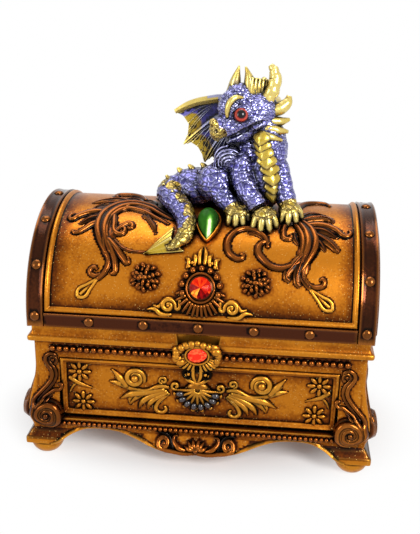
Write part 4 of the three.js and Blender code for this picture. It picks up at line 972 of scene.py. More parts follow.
def shell():
    sheet = bmesh.new()
    add_ball(sheet, (0, 51.4, 0), (9.4, 5.6, 1.7), across=28, along=10)
    for i in range(17):
        angle = math.radians(-38 + 256 * i / 16)
        size = lumps.uniform(1.4, 2.1)
        add_ball(
            sheet, (8.5 * math.cos(angle), 51.9 + 4.9 * math.sin(angle), lumps.uniform(0.8, 1.5)),
            (size * lumps.uniform(0.9, 1.35), size, lumps.uniform(1.0, 1.5)),
        )
    ring = [(4.7 * math.cos(a), 52.2 + 3.7 * math.sin(a), 1.5) for a in (math.tau * i / 16 for i in range(17))]
    strokes = [(ring, [0.55])]
    for i in range(13):
        angle = math.radians(190 + 160 * i / 12)
        c, s = math.cos(angle), math.sin(angle)
        rib = [(5.0 * c, 51.6 + 3.6 * s, 1.3), (7.0 * c, 51.0 + 4.8 * s, 1.3), (8.8 * c, 50.4 + 5.6 * s, 0.8)]
        strokes.append((rib, [0.45, 0.65, 0.75]))
    curl = [(u, v, 0.9) for u, v in spiral((3.4, 43.6), 2.6, 0.6, 100, -1.2, 9)]
    draw_strokes(sheet, strokes + both_sides([
        ([(7.2, 46.4, 0.6), (5.2, 46.4, 0.9), *curl], [0.6, 0.8, 0.9, 0.8, 0.6]),
        ([(5.8, 44.4, 0.4), (3.8, 41.2, 0.7), (0, 38.9, 0.5)], [0.8, 1.0, 0.7]),
        ([(1.4, 46.6, 1.0), (1.5, 43.0, 1.1), (0.4, 39.8, 0.7)], [0.7, 0.9, 0.6]),
    ]))
    for side in (-1, 1):
        add_ball(sheet, (side * 3.4, 43.6, 0.9), (0.9, 0.9, 0.9))
    add_ball(sheet, (0, 43.2, 0), (5.6, 4.0, 1.0), across=20)
    lay(sheet, flat_wall(SHELL_Y))
    return sheet


def keep_values(piece, name, values, domain="POINT"):
    """Stores a number for every point or face of a piece, for its finish to read."""
    piece.data.attributes.new(name, "FLOAT", domain).data.foreach_set("value", values)


def paint_facet_light(piece, values):
    """Gives every face of a stone a value of its own, for its painted flash of reflected colour."""
    keep_values(piece, "facet", [values(polygon) for polygon in piece.data.polygons], "FACE")


def cut_gem(rings, around, place):
    """A brilliant: rings of points, each turned half a step from the last, with a point or a table on top."""
    sheet = bmesh.new()
    made = bmesh.ops.create_circle(sheet, cap_ends=True, segments=around, radius=1)
    edges = list(sheet.edges)
    for wide, tall, rise in rings:
        if rise == rings[0][2]:
            for vert in made["verts"]:
                vert.co = Vector((vert.co.x * wide, vert.co.y * tall, rise))
            continue
        grown = bmesh.ops.extrude_edge_only(sheet, edges=edges)
        edges = of_kind(grown, BMEdge)
        turn = Matrix.Rotation(math.pi / around, 3, "Z")
        for vert in of_kind(grown, BMVert):
            angle = math.atan2(vert.co.y / rings[0][1], vert.co.x / rings[0][0])
            vert.co = turn @ Vector((wide * math.cos(angle), tall * math.sin(angle), rise))
    bmesh.ops.contextual_create(sheet, geom=edges)
    bmesh.ops.triangulate(sheet, faces=[f for f in sheet.faces if len(f.verts) == 4])
    lay(sheet, place)
    return sheet


finish_piece("shell_mount", shell(), "base", [gold_paint], ["escutcheon"], crisp=60)
oval = cut_gem(
    [(4.0, 3.0, 1.25), (4.0, 3.0, 1.5), (3.0, 2.2, 2.35), (1.9, 1.4, 2.75)], 12,
    lambda p: Vector((p.x, SHELL_Y - p.z, p.y + 52.2)),
)
oval_piece = finish_piece("oval_stone", oval, "base", [oval_ruby], ["escutcheon_gem"], crisp=5)
painted_flashes = random.Random(3)
paint_facet_light(oval_piece, lambda polygon: painted_flashes.uniform(0.25, 0.9))


def fan():
    sheet = bmesh.new()
    middle = 33.4
    strokes = []
    for i in range(8):
        angle = math.radians(190 + 160 * i / 7)
        c, s = math.cos(angle), math.sin(angle)
        turn = Quaternion((0, 0, 1), angle)
        add_ball(sheet, (7.5 * c, middle + 6.9 * s, 0.7), (1.8, 1.35, 1.3), turn, finish=1)
        add_ball(sheet, (9.7 * c, middle + 8.8 * s, 0.3), (0.8, 1.1, 0.9), turn)
    for i in range(9):
        angle = math.radians(178 + 184 * i / 8)
        c, s = math.cos(angle), math.sin(angle)
        start, half_way = (1.0 * c, middle + 1.2 + 1.0 * s, 1.0), (4.6 * c, middle + 0.6 + 4.2 * s, 0.8)
        strokes.append(([start, half_way, (9.0 * c, middle + 8.2 * s, 0.3)], [1.0, 0.7, 0.5]))
    curl = [(u, v, 0.4) for u, v in spiral((9.2, 35.6), 1.9, 0.4, 250, 1.1, 8)]
    draw_strokes(sheet, strokes + both_sides([(curl, [0.5, 0.8, 0.6])]))
    add_ball(sheet, (0, 32.2, 0), (6.4, 5.6, 0.8), across=20)
    add_ball(sheet, (0, 35.4, 0.2), (4.6, 2.6, 1.5), across=18)
    lay(sheet, flat_wall(-PANEL_Y - 0.25))
    return sheet


finish_piece("fan_of_drops", fan(), "base", [gold_paint, black_enamel], ["palmette"], crisp=180)

# %% Leaf sprays on the front panel
def flower(sheet, u, v, reach, petals):
    for i in range(petals):
        angle = math.tau * i / petals
        turn = Quaternion((0, 0, 1), angle)
        add_ball(
            sheet, (u + reach * 0.62 * math.cos(angle), v + reach * 0.62 * math.sin(angle), 0.2),
            (reach * 0.42, reach * 0.2, 0.85), turn,
        )
    add_ball(sheet, (u, v, 0.3), (reach * 0.25, reach * 0.25, 1.0))


def panel_spray():
    sheet = bmesh.new()
    draw_strokes(sheet, [
        (spiral((26.2, 37.8), 4.2, 1.5, 205, -1.5, 14), [0.9, 1.3, 1.5, 1.3, 0.9]),
        ([(29.4, 33.4), (32.4, 37.6), (35.8, 41.4)], [1.2, 1.7, 0.3]),
        ([(29.4, 33.2), (33.2, 35.2), (37.0, 35.6)], [1.1, 1.5, 0.3]),
        ([(30.4, 35.0), (32.8, 36.6), (34.6, 38.0)], [0.7, 0.9, 0.4]),
        ([(30.2, 33.6), (26.0, 32.4), (21.2, 32.2), (15.8, 34.8), (11.8, 34.4)], [1.0, 1.2, 1.3, 1.1, 0.8]),
        (spiral((14.4, 37.4), 1.9, 0.4, 280, 1.3, 9), [0.5, 0.7, 0.5]),
        ([(13.7, 33.4), (21.2, 31.6), (27.7, 30.4), (32.6, 27.6)], [1.0, 1.7, 1.8, 0.3]),
        ([(12.8, 32.8), (18.4, 30.4), (22.8, 27.4), (24.6, 23.8)], [0.9, 1.5, 1.6, 0.4]),
        ([(12.3, 32.1), (16.2, 29.8), (19.8, 26.8), (21.0, 23.4)], [0.8, 1.3, 1.5, 0.4]),
        ([(11.8, 31.6), (14.4, 29.4), (16.8, 26.6), (17.3, 23.6), (15.2, 22.4), (13.2, 23.8), (13.8, 25.6)],
         [0.7, 1.0, 1.1, 1.1, 1.0, 0.9, 0.6]),
        ([(25.6, 30.8), (28.4, 28.2), (28.6, 25.8)], [0.6, 1.0, 0.4]),
        ([(20.4, 31.6), (25.6, 28.8), (28.6, 25.2)], [0.8, 1.3, 0.4]),
    ], height=0.9)
    add_ball(sheet, (26.2, 37.6, 0.3), (1.9, 1.9, 1.6))
    flower(sheet, 49.4, 39.4, 4.9, 8)
    flower(sheet, 48.2, 25.4, 4.9, 8)
    draw_strokes(sheet, [
        ([(54.0, 36.6), (50.0, 34.0), (44.0, 31.8)], [1.1, 1.2, 0.25]),
        ([(54.0, 29.0), (52.6, 32.0), (50.4, 34.0)], [0.4, 0.6, 0.4]),
    ], height=0.8)
    lay(sheet, flat_wall(-PANEL_Y - 0.1))
    return sheet


finish_pair("leaf_spray", panel_spray, "base", [gold_paint], "panel_spray", crisp=180)

# %% Leaf bracket on the skirt
def skirt_bracket():
    sheet = bmesh.new()
    strokes = []
    for angle in (20, 48, 74, 106, 132, 160):
        c, s = math.cos(math.radians(angle)), math.sin(math.radians(angle))
        leaf = [(0.6 * c, 9.0 + 0.6 * s, 0.9), (3.0 * c, 9.0 + 2.4 * s, 1.3), (5.4 * c, 9.0 + 4.4 * s, 0.5)]
        strokes.append((leaf, [0.6, 1.0, 0.3]))
    roll = [(u, v, 0.6) for u, v in spiral((13.4, 11.2), 2.6, 0.6, 270, 1.5, 12)]
    draw_strokes(sheet, strokes + both_sides([
        ([(0, 7.6, 0.6), (4.5, 7.3, 0.9), (9.0, 7.9, 0.9), *roll], [1.0, 1.2, 1.2, 1.1, 0.9, 0.6]),
        ([(4.0, 8.6, 0.8), (7.4, 10.2, 1.0), (9.4, 13.0, 0.6), (7.8, 14.0, 0.6)], [0.8, 1.1, 0.9, 0.5]),
        ([(9.0, 8.8, 0.6), (12.4, 14.4, 0.7), (16.6, 15.0, 0.4)], [0.6, 0.9, 0.3]),
        ([(5.5, 7.6, 0.7), (8.5, 6.6, 0.4)], [0.8, 0.3]),
    ]))
    for side in (-1, 1):
        add_ball(sheet, (side * 13.4, 11.2, 0.7), (0.9, 0.9, 0.9))
    add_ball(sheet, (0, 8.8, 0.9), (1.3, 1.2, 1.1))
    lay(sheet, front_wall)
    return sheet


finish_piece(
    "skirt_bracket", skirt_bracket(), "base", [copper_paint], ["skirt_pendant"], crisp=180,
)

# %% [markdown]
# ## Barrel lid
#
# The lid is half of an oval barrel. Its ornaments are drawn flat again, with the distance over the
# barrel as the second direction. To roll a sheet over the barrel, a table gives the angle for each
# distance, because an oval has no simple formula for its length. The shell itself is an outline drawn
# out along the lid and hollowed.

# %% Rolling a sheet over the barrel
BARREL_DEEP, BARREL_TALL, SPRING, LID_LOW = 42.0, 39.6, 63.4, 60.4
LID_HALF = 69.5
roll_angles = [math.pi * i / 720 for i in range(721)]
roll_lengths = [0.0]
for first, second in zip(roll_angles, roll_angles[1:]):
    along_y = BARREL_DEEP * (math.cos(second) - math.cos(first))
    along_z = BARREL_TALL * (math.sin(second) - math.sin(first))
    roll_lengths.append(roll_lengths[-1] + math.hypot(along_y, along_z))
ROLL = roll_lengths[-1]


def roll_at(degrees):
    return spread(roll_lengths, degrees / 180)


def barrel_at(length):
    """Point and outward direction over the barrel, as (y, z) pairs."""
    if length <= 0:
        return (-BARREL_DEEP, SPRING + length), (-1.0, 0.0)
    if length >= ROLL:
        return (BARREL_DEEP, SPRING - (length - ROLL)), (1.0, 0.0)
    low = bisect_right(roll_lengths, length) - 1
    share = (length - roll_lengths[low]) / (roll_lengths[low + 1] - roll_lengths[low])
    angle = roll_angles[low] + (roll_angles[low + 1] - roll_angles[low]) * share
    out = Vector((-math.cos(angle) / BARREL_DEEP, math.sin(angle) / BARREL_TALL)).normalized()
    return (-BARREL_DEEP * math.cos(angle), SPRING + BARREL_TALL * math.sin(angle)), (out.x, out.y)


def over_barrel(point):
    (y, z), (out_y, out_z) = barrel_at(point.y)
    return Vector((point.x, y + out_y * point.z, z + out_z * point.z))


def on_lid(*places):
    """Places given by X, the angle up the barrel and a height, as points of the flat sheet."""
    return [(p[0], roll_at(p[1]), p[2] if len(p) > 2 else 0.0) for p in places]


print("once over the barrel is", round(ROLL, 1), "mm")

# %% Lid shell
LID_WALL = 4.6
LID_HINGE_TOP = 65.5


def barrel_outline(shrink, low, count):
    deep, tall = BARREL_DEEP - shrink, BARREL_TALL - shrink
    angles = [math.pi * i / count for i in range(count + 1)]
    return [(-deep, low), *((-deep * math.cos(a), SPRING + tall * math.sin(a)) for a in angles), (deep, low)]


def lid_shell():
    sheet = cutter(barrel_outline(0, LID_LOW, 220), 0, -LID_HALF, LID_HALF)
    hollow = cutter(barrel_outline(LID_WALL, LID_LOW - 4, 40), 0, LID_WALL - LID_HALF, LID_HALF - LID_WALL)
    sheet = cut_away(sheet, [hollow, *hinge_cutters(50, LID_HINGE_TOP)])
    long_edges = [e for e in sheet.edges if abs(e.verts[0].co.x - e.verts[1].co.x) > 100]
    bmesh.ops.subdivide_edges(sheet, edges=long_edges, cuts=190)
    return sheet


lid_piece = finish_piece("lid_barrel", lid_shell(), "lid", [gold_paint], ["lid_shell"], fix=False)

# %% [markdown]
# Straps, bands and the thin moulding between them frame the barrel. A strap is one cross-section pulled
# over the barrel: it is drawn as a long flat bar, cut into short lengths so that it can bend, and
# rolled. Rivets are low domes set on it. The lower bands are the same bar left straight.

# %% Straps, bands and trim
STRAP_X = 66.0
STRAP_THICK = 1.45
TRIM_HALF, TRIM_LOW = 62.25, 66.65
PLATE_LOW, PLATE_IN = 62.7, 3.0


def bar(half_u, v0, v1, thick, edge):
    """A flat bar with a soft raised edge along both sides."""
    half = [
        (half_u, -0.3), (half_u, thick * 0.7), (half_u - edge * 0.4, thick), (half_u - edge, thick * 0.92),
        (half_u - edge * 1.5, thick * 0.78),
    ]
    line = [(-u, w) for u, w in half] + half[::-1]
    return prism([(u, v0, w) for u, w in line], (0, v1 - v0, 0))


def add_rivet(sheet, u, v, w, radius=2.1, rise=1.15):
    add_ball(sheet, (u, v, w), (radius, radius, rise), across=14, along=8)


def strap():
    sheet = bar(3.5, -3.0, ROLL + 3.0, STRAP_THICK, 1.1)
    slice_up(sheet, 0, -2.3, 2.3, 1.15)
    slice_up(sheet, 1, 0, ROLL, 1.5)
    for i in range(7):
        add_rivet(sheet, 0, roll_at(2 + 176 * i / 6), 1.1)
    shift(sheet, STRAP_X, 0, 0)
    lay(sheet, over_barrel)
    return sheet


def band():
    sheet = bar(3.0, -TRIM_HALF, TRIM_HALF, STRAP_THICK, 0.9)
    slice_up(sheet, 1, -61, 61, 1.5)
    slice_up(sheet, 0, -1.8, 1.8, 0.9)
    spin(sheet, 90)
    for x in (-44, -22, 0, 22, 44):
        add_rivet(sheet, x, 0, 1.1)
    lay(sheet, lambda p: Vector((p.x, -BARREL_DEEP - p.z, p.y + SPRING)))
    return sheet


def back_band():
    sheet = band()
    spin(sheet, 180)
    places = ((-HINGE_OUT, -HINGE_IN), (HINGE_IN, HINGE_OUT))
    return cut_away(sheet, [box_cutter(*place, 40, 50, 55, LID_HINGE_TOP) for place in places])


finish_pair("strap", strap, "lid", [bronze_paint], "lid_strap", crisp=50)
finish_piece("band_front", band(), "lid", [bronze_paint], ["lid_band_front"], crisp=50)
finish_piece("band_back", back_band(), "lid", [bronze_paint], ["lid_band_back"], crisp=50)

TRIM_LINE = [
    (0.0, -0.3), (0.0, 0.7), (-0.35, 1.1), (-0.85, 1.25), (-1.4, 1.1), (-1.75, 0.65), (-2.1, 0.5),
    (-2.3, 0.2), (-2.3, -0.3),
]


def trim():
    low = TRIM_LOW - SPRING
    sheet = moulded(TRIM_HALF, ROLL / 2 - low, 0.2, TRIM_LINE, closed=True)
    slice_up(sheet, 1, 4 - ROLL / 2, ROLL / 2 - 4, 1.6)
    slice_up(sheet, 0, -60, 60, 2.0)
    shift(sheet, 0, ROLL / 2, 0)
    lay(sheet, over_barrel)
    return sheet


finish_piece("barrel_moulding", trim(), "lid", [gold_paint], ["lid_trim"], crisp=50)


def drawn_up(vert):
    """The vertex that an extrusion has just set on top of this one."""
    others = (edge.other_vert(vert) for edge in vert.link_edges)
    return next(other for other in others if (other.co - vert.co).length < 1e-9)


def raised(outlines):
    """A solid drawn up through closed outlines that have the same number of points."""
    sheet = bmesh.new()
    verts = [sheet.verts.new(point) for point in outlines[0]]
    sheet.faces.new(verts)
    for outline in outlines[1:]:
        edges = [sheet.edges.get((a, b)) for a, b in zip(verts, verts[1:] + verts[:1])]
        bmesh.ops.extrude_edge_only(sheet, edges=edges)
        verts = [drawn_up(vert) for vert in verts]
        for vert, point in zip(verts, outline):
            vert.co = point
    sheet.faces.new(verts)
    bmesh.ops.recalc_face_normals(sheet, faces=sheet.faces)
    return sheet


def plate_outline(inset, x):
    """The D of the lid's end, drawn in by an inset that is the same all round."""
    deep, tall = BARREL_DEEP - PLATE_IN - inset, SPRING + BARREL_TALL - PLATE_IN - inset - PLATE_LOW
    start = math.asin(inset / tall)
    angles = [start + (math.pi - 2 * start) * i / 64 for i in range(65)]
    return [Vector((x, -deep * math.cos(a), PLATE_LOW + tall * math.sin(a))) for a in angles]


def end_plate():
    steps = ((0, 69.2), (0, 70.25), (0.3, 70.45), (1.6, 70.45), (2.1, 69.95), (6.6, 69.95), (7.2, 70.3))
    sheet = raised([plate_outline(inset, x) for inset, x in steps])
    slice_up(sheet, 1, -38, 38, 2.0)
    slice_up(sheet, 2, 64, 98, 2.0)
    return sheet


finish_pair("end_plate", end_plate, "lid", [bronze_paint], "lid_end", crisp=30)

# %% [markdown]
# The acanthus sprays on the barrel are folded stems with broad leaves along them. They end in curls and
# in one long gilded drop leaf. The two sides are not mirror images on the real lid, so each has its own
# drawing.

# %% Acanthus sprays on the lid
def drop_leaf(stem, tip, wide):
    """A long drop: an outline that leaves the stem, opens and closes again, with a vein inside."""
    along = Vector(tip) - Vector(stem)
    across = Vector((-along.y, along.x)).normalized() * wide
    start = Vector(stem)
    left = [start, start + along * 0.45 + across * 0.6, start + along * 0.8 + across, start + along]
    right = [start, start + along * 0.45 - across * 0.6, start + along * 0.8 - across, start + along]
    vein = [start + along * 0.25, start + along * 0.6, start + along * 0.86]
    return [(left, [0.7, 0.75, 0.85, 0.9]), (right, [0.7, 0.75, 0.85, 0.9]), (vein, [0.35, 0.7, 0.8])]


def gild_from(sheet, strokes):
    """Strokes in the second finish of the piece."""
    before = set(sheet.faces)
    draw_strokes(sheet, strokes)
    for face in sheet.faces:
        if face not in before:
            face.material_index = 1


def acanthus(strokes, pads, stem, tip):
    """Stems and leaves over low pads, and a drop leaf. Places are X and the angle up the barrel."""
    sheet = bmesh.new()
    draw_leaves(sheet, [(on_lid(*places), widths) for places, widths in strokes])
    for x, angle, radii, turn in pads:
        add_ball(sheet, (x, roll_at(angle), 0), radii, Quaternion((0, 0, 1), turn), across=18, along=8)
    start, end = ((x, roll_at(angle)) for x, angle in (stem, tip))
    gild_from(sheet, drop_leaf(start, end, 1.9))
    return sheet


LEFT_STROKES = [
    ([(-13, 66), (-18.5, 71), (-24.5, 77.5), (-33, 80.5), (-40, 73), (-42.6, 62), (-41.2, 50),
      (-37.6, 40)],
     [0.7, 1.2, 1.7, 2.0, 2.3, 2.4, 1.8, 1.2]),
    ([(-15, 62), (-21, 67.5), (-28, 73.5), (-34.6, 74.5), (-39.2, 67), (-40.2, 58), (-38.4, 47),
      (-34.8, 37)],
     [0.5, 0.8, 1.1, 1.2, 1.2, 1.2, 1.0, 0.7]),
    ([(-31, 80), (-38, 84.5), (-46, 82), (-49.6, 79.5)], [1.0, 1.5, 1.1, 0.3]),
    ([(-36, 78), (-42, 79), (-47.6, 75)], [1.0, 1.4, 0.3]),
    ([(-27, 79), (-31, 86), (-37.5, 88)], [1.0, 1.3, 0.3]),
    ([(-22.5, 77), (-24, 84), (-29, 87.5)], [0.8, 1.1, 0.3]),
    ([(-41, 70), (-47, 70), (-52.6, 66), (-55.8, 62.5), (-56.4, 66), (-54.8, 67.4)],
     [1.3, 1.5, 1.2, 0.9, 0.7, 0.5]),
    ([(-42, 66), (-47, 64), (-51.8, 59)], [1.2, 1.4, 0.4]),
    ([(-42.6, 62), (-46.4, 59.6), (-49.4, 55.4), (-52.8, 52.4), (-54.2, 54)], [1.2, 1.3, 1.0, 0.7, 0.5]),
    ([(-38.6, 70), (-37.6, 61), (-36.4, 54.5), (-33.4, 53.6), (-32.6, 57), (-34.4, 58.8)],
     [0.9, 1.1, 1.0, 0.9, 0.8, 0.5]),
    ([(-36.4, 55), (-33.4, 60), (-30.8, 61.5), (-29.8, 58.6), (-31.2, 57)], [0.7, 0.9, 0.9, 0.8, 0.5]),
    ([(-40.8, 52), (-39.6, 43), (-37.2, 36), (-38.6, 29), (-41.2, 25)], [1.2, 1.1, 1.0, 0.9, 0.8]),
    ([(-40, 50), (-36.6, 42), (-34.6, 34), (-34.6, 29.4), (-36, 28.6)], [1.1, 1.2, 1.1, 0.9, 0.5]),
    ([(-39, 50), (-34.8, 43.5), (-31.6, 38), (-29.4, 35.4), (-29.6, 38.6)], [1.1, 1.1, 1.0, 0.8, 0.5]),
    ([(-39.8, 28), (-42.8, 27), (-44.4, 29.6), (-42.8, 31.8), (-41.4, 30.4)], [0.6, 0.8, 0.8, 0.7, 0.5]),
    ([(-37, 50), (-31.4, 43.6), (-24.5, 42), (-17, 42.4)], [0.5, 0.45, 0.4, 0.25]),
    ([(-24.4, 73), (-23.6, 66), (-21, 60), (-19.6, 54)], [0.4, 0.8, 0.8, 0.3]),
    ([(-25.6, 71), (-25.4, 67.4), (-23.6, 66.2)], [0.3, 0.7, 0.5]),
    ([(-27, 86), (-31, 94), (-37, 97), (-41, 94), (-40, 90)], [0.8, 1.3, 1.3, 1.1, 0.6]),
    ([(-17, 78), (-18, 88), (-20.6, 94), (-19, 99)], [0.8, 1.6, 1.8, 0.8]),
]
LEFT_PADS = (
    (-34, 80, (8.5, 3.2, 0.9), 0.15), (-43, 73, (7.0, 3.6, 0.9), 0.75), (-38, 52, (2.6, 7.0, 0.9), -0.12),
    (-28, 76, (6, 2.6, 0.9), -0.5),
)
RIGHT_STROKES = [
    ([(36.4, 72), (39.6, 67), (42.4, 60), (43.2, 52), (40.8, 42), (38.4, 35)],
     [0.8, 1.7, 2.3, 2.3, 1.6, 1.0]),
    ([(34.8, 70), (37.6, 64), (39.6, 57), (39.6, 48), (37.4, 40)], [0.6, 1.0, 1.2, 1.1, 0.7]),
    ([(39, 70), (44, 73), (50.6, 72.4), (51.8, 69.6)], [1.2, 1.5, 1.0, 0.4]),
    ([(38, 72), (43, 77), (49, 77)], [0.9, 1.3, 0.3]),
    ([(41, 66), (47, 67), (52.4, 64), (56.6, 59), (58.6, 61.4), (58, 63.6)],
     [1.3, 1.5, 1.2, 0.9, 0.7, 0.5]),
    ([(42, 63), (48, 62), (53.6, 57)], [1.2, 1.4, 0.3]),
    ([(43, 60), (48, 56), (52.8, 49.6), (53.8, 47.4)], [1.3, 1.4, 1.0, 0.3]),
    ([(43.2, 57), (46.6, 53), (48.6, 48)], [1.1, 1.2, 0.3]),
    ([(37.6, 69), (33.2, 67), (31.6, 60), (32.8, 55.4), (35, 56.4), (34.4, 58.6)],
     [0.9, 1.0, 0.9, 0.9, 0.8, 0.5]),
    ([(36, 60), (36.6, 55), (38, 51.6)], [0.5, 0.8, 0.4]),
    ([(42.6, 50), (40.6, 40), (40, 32.5), (43.2, 26)], [1.2, 1.0, 0.9, 0.8]),
    ([(42, 48), (38.8, 38), (38, 29), (39.2, 26.6)], [1.1, 1.2, 1.0, 0.6]),
    ([(41, 47), (36, 38), (33.8, 31.4), (35.2, 29.6)], [1.1, 1.1, 1.0, 0.6]),
    ([(42.6, 28), (45.6, 26.6), (48.4, 28.6), (48, 31.4), (46.6, 30.6)], [0.6, 0.8, 0.8, 0.7, 0.5]),
    ([(42, 46), (36.4, 39), (29.5, 36.8), (24, 41.6), (22, 47.6), (24.4, 52.6), (26.4, 51.4)],
     [1.0, 1.0, 1.0, 1.1, 1.1, 0.9, 0.6]),
    ([(26, 48.6), (24.2, 56.4), (20, 61), (15.4, 61.6), (10.8, 56), (9.6, 48.6), (12, 42.4),
      (15.6, 41.4), (16.6, 44)],
     [0.6, 1.0, 1.2, 1.2, 1.1, 1.1, 1.0, 0.9, 0.7]),
    ([(24.6, 53.6), (21.6, 57.6), (17.6, 58.4)], [0.4, 0.7, 0.4]),
    ([(37, 76), (38, 88), (43, 96), (49, 96), (51, 91)], [0.8, 1.3, 1.3, 1.1, 0.5]),
]
RIGHT_PADS = (
    (42, 60, (3.4, 8.0, 0.9), 0.1), (47, 65, (7.0, 4.4, 0.9), -0.6), (40, 42, (2.8, 7.0, 0.9), 0.1),
    (44, 73, (6.0, 2.8, 0.9), 0.2),
)
left_spray = acanthus(LEFT_STROKES, LEFT_PADS, (-41, 25.4), (-48.8, 14.4))
right_spray = acanthus(RIGHT_STROKES, RIGHT_PADS, (43, 25.6), (52.2, 14.4))
add_ball(right_spray, (15.6, roll_at(43.6), 0.5), (0.9, 0.9, 0.9))
for name, spray in (("left", left_spray), ("right", right_spray)):
    lay(spray, over_barrel)
    finishes = [copper_paint, gold_paint]
    finish_piece(f"acanthus_{name}", spray, "lid", finishes, [f"lid_spray_{name}"], crisp=180)

# %% Crest, round stone and rosettes
CREST = (0.4, roll_at(23))


def on_crest(point):
    return over_barrel(Vector((point.x + CREST[0], point.y + CREST[1], point.z)))


def crest():
    copper, gold = bmesh.new(), bmesh.new()
    add_ball(copper, (0, 0, 0), (7.2, 7.2, 2.1), across=24, along=10)
    for i in range(9):
        angle = math.radians(-18 + 216 * i / 8)
        add_ball(copper, (7.4 * math.cos(angle), 7.4 * math.sin(angle), 0.9), (1.55, 1.55, 1.6))
    ring = [(5.5 * math.cos(a), 5.5 * math.sin(a), 1.8) for a in (math.tau * i / 24 for i in range(25))]
    draw_strokes(copper, [(ring, [0.5])], steps=2)
    petals = []
    for u, v in ((1.0, -11.6), (3.0, -11.4), (5.0, -10.6), (6.8, -9.4), (8.6, -7.6), (9.6, -5.2), (9.8, -2.6)):
        start = Vector((u, v)).normalized() * 6.4
        petals.append(([(*start, 1.3), (u, v, 0.8)], [0.85, 0.6]))
    draw_strokes(copper, both_sides(petals))
    for side in (-1, 1):
        for k in range(4):
            add_ball(gold, (side * (5.2 - k * 1.3), 8.2 + k * 1.5, 0.7), (0.95, 0.95, 1.1))
        add_ball(gold, (side * 12.6, -7.4, 0.5), (0.9, 0.9, 0.9))
    roll = [(u, v, 0.5) for u, v in spiral((12.6, -7.4), 3.0, 0.5, 200, -1.5, 12)]
    draw_strokes(gold, both_sides([
        ([(8.0, -4.6, 0.8), (8.8, -8.6, 0.7), *roll[1:]], [0.7, 1.0, 1.1, 1.0, 0.9, 0.6]),
        ([(11.0, -11.0, 0.4), (15.4, -10.8, 0.6), (18.0, -9.0, 0.5), (21.0, -9.4, 0.3)], [0.7, 1.1, 1.0, 0.3]),
        ([(14.8, -5.6, 0.4), (16.4, -8.0, 0.5), (18.6, -7.6, 0.3)], [0.5, 0.9, 0.4]),
        ([(6.0, 7.4, 0.5), (5.4, 10.6, 0.9), (6.8, 12.0, 0.4)], [0.6, 1.0, 0.4]),
        ([(3.2, 8.2, 0.6), (2.8, 12.0, 1.0), (3.8, 13.8, 0.5)], [0.7, 1.1, 0.4]),
        ([(1.0, 9.0, 0.7), (1.2, 13.6, 1.0), (0.4, 17.0, 0.4)], [0.8, 1.0, 0.3]),
    ]))
    for face in gold.faces:
        face.material_index = 1
    add_sheet(copper, gold)
    lay(copper, on_crest)
    return copper


finish_piece("shell_crest", crest(), "lid", [copper_paint, gold_paint], ["lid_crest"], crisp=180)
rivoli = cut_gem([(5.0, 5.0, 1.0), (5.0, 5.0, 1.35), (3.1, 3.1, 2.2), (0.25, 0.25, 3.1)], 16, on_crest)
rivoli_piece = finish_piece("round_stone", rivoli, "lid", [round_ruby], ["crest_gem"], crisp=5)
painted_flashes = random.Random(12)
SECTOR_ENDS = (-155, -110, -30, 150)
RUBY_PAINTED_LIGHT_SECTORS = (0.36, 0.92, 0.15, 0.58, 0.36)


def ruby_painted_light(polygon):
    """Painted reflection: orange light low on the left, deep red below, bright red above, as foil behind a
    stone sends it back.
    """
    middle = over_barrel(Vector((*CREST, 2.0))) * MM
    angle = math.degrees(math.atan2(polygon.center.z - middle.z, polygon.center.x - middle.x))
    base = RUBY_PAINTED_LIGHT_SECTORS[bisect_right(SECTOR_ENDS, angle)]
    return clamp(base + painted_flashes.uniform(-0.15, 0.15))


paint_facet_light(rivoli_piece, ruby_painted_light)


def rosette():
    sheet = bmesh.new()
    cu, cv = 22.0, roll_at(27)
    seeds = random.Random(5)
    add_ball(sheet, (cu, cv, 0), (4.4, 4.4, 1.5), across=16)
    rows = ((1, 0.0, 1.3, 2.4), (6, 1.9, 1.35, 2.2), (9, 3.4, 1.35, 1.6), (13, 4.7, 1.35, 0.8))
    for count, reach, size, rise in rows:
        for i in range(count):
            angle = math.tau * (i + seeds.uniform(-0.25, 0.25)) / count + reach
            away = reach * seeds.uniform(0.85, 1.12)
            place = (cu + away * math.cos(angle), cv + away * math.sin(angle), rise * seeds.uniform(0.7, 1.1))
            radii = [size * seeds.uniform(*limits) for limits in ((0.8, 1.3), (0.55, 0.85), (0.7, 1.0))]
            add_ball(sheet, place, radii, Quaternion((0, 0, 1), angle + seeds.uniform(-0.5, 0.5)))
    lay(sheet, over_barrel)
    return sheet


finish_pair("rosette", rosette, "lid", [copper_paint], "lid_rosette", crisp=180)

# %% [markdown]
# The green drop leans in a gold setting in front of the dragon. Its outline is a circle that narrows
# towards one end; the stone and the setting are that outline raised through a few steps.

# %% Green drop and its setting
DROP_LEAN = math.radians(45)
DROP_OUT = Vector((0, -math.cos(DROP_LEAN), math.sin(DROP_LEAN)))
DROP_UP = Vector((0, math.sin(DROP_LEAN), math.cos(DROP_LEAN)))
DROP_MIDDLE = Vector((1.2, -21.6, 100.0))


def drop_place(point):
    return DROP_MIDDLE + Vector((1, 0, 0)) * point.x + DROP_UP * point.y + DROP_OUT * point.z


def drop_outline(grow, shrink):
    points = []
    for i in range(40):
        angle = math.tau * i / 40
        narrow = min(((1 + math.sin(angle)) / 2) ** 0.45 * 1.12, 1)
        points.append((math.cos(angle) * (narrow * 4.7 * shrink + grow), math.sin(angle) * (7 * shrink + grow)))
    return points


def raised_drop(steps, dip=0.0, slope=0.0):
    """dip lowers the upper end of all steps but the first, slope tilts the first to follow the barrel."""
    outlines = []
    for i, (grow, shrink, rise) in enumerate(steps):
        outline = []
        for u, v in drop_outline(grow, shrink):
            lower = dip * clamp((v + 2) / 6) if i else slope * v
            outline.append(Vector((u, v, rise - lower)))
        outlines.append(outline)
    sheet = raised(outlines)
    lay(sheet, drop_place)
    return sheet


def drop_painted_highlight(place):
    """A painted highlight: a bright streak right of the middle, which ends below the top."""
    streak = max(0.0, 1.2 - abs(place.x - 2.1) / 1.3) * clamp((105.0 - place.z) / 3.0)
    return 0.3 - 0.05 * abs(place.x + 0.6) + streak


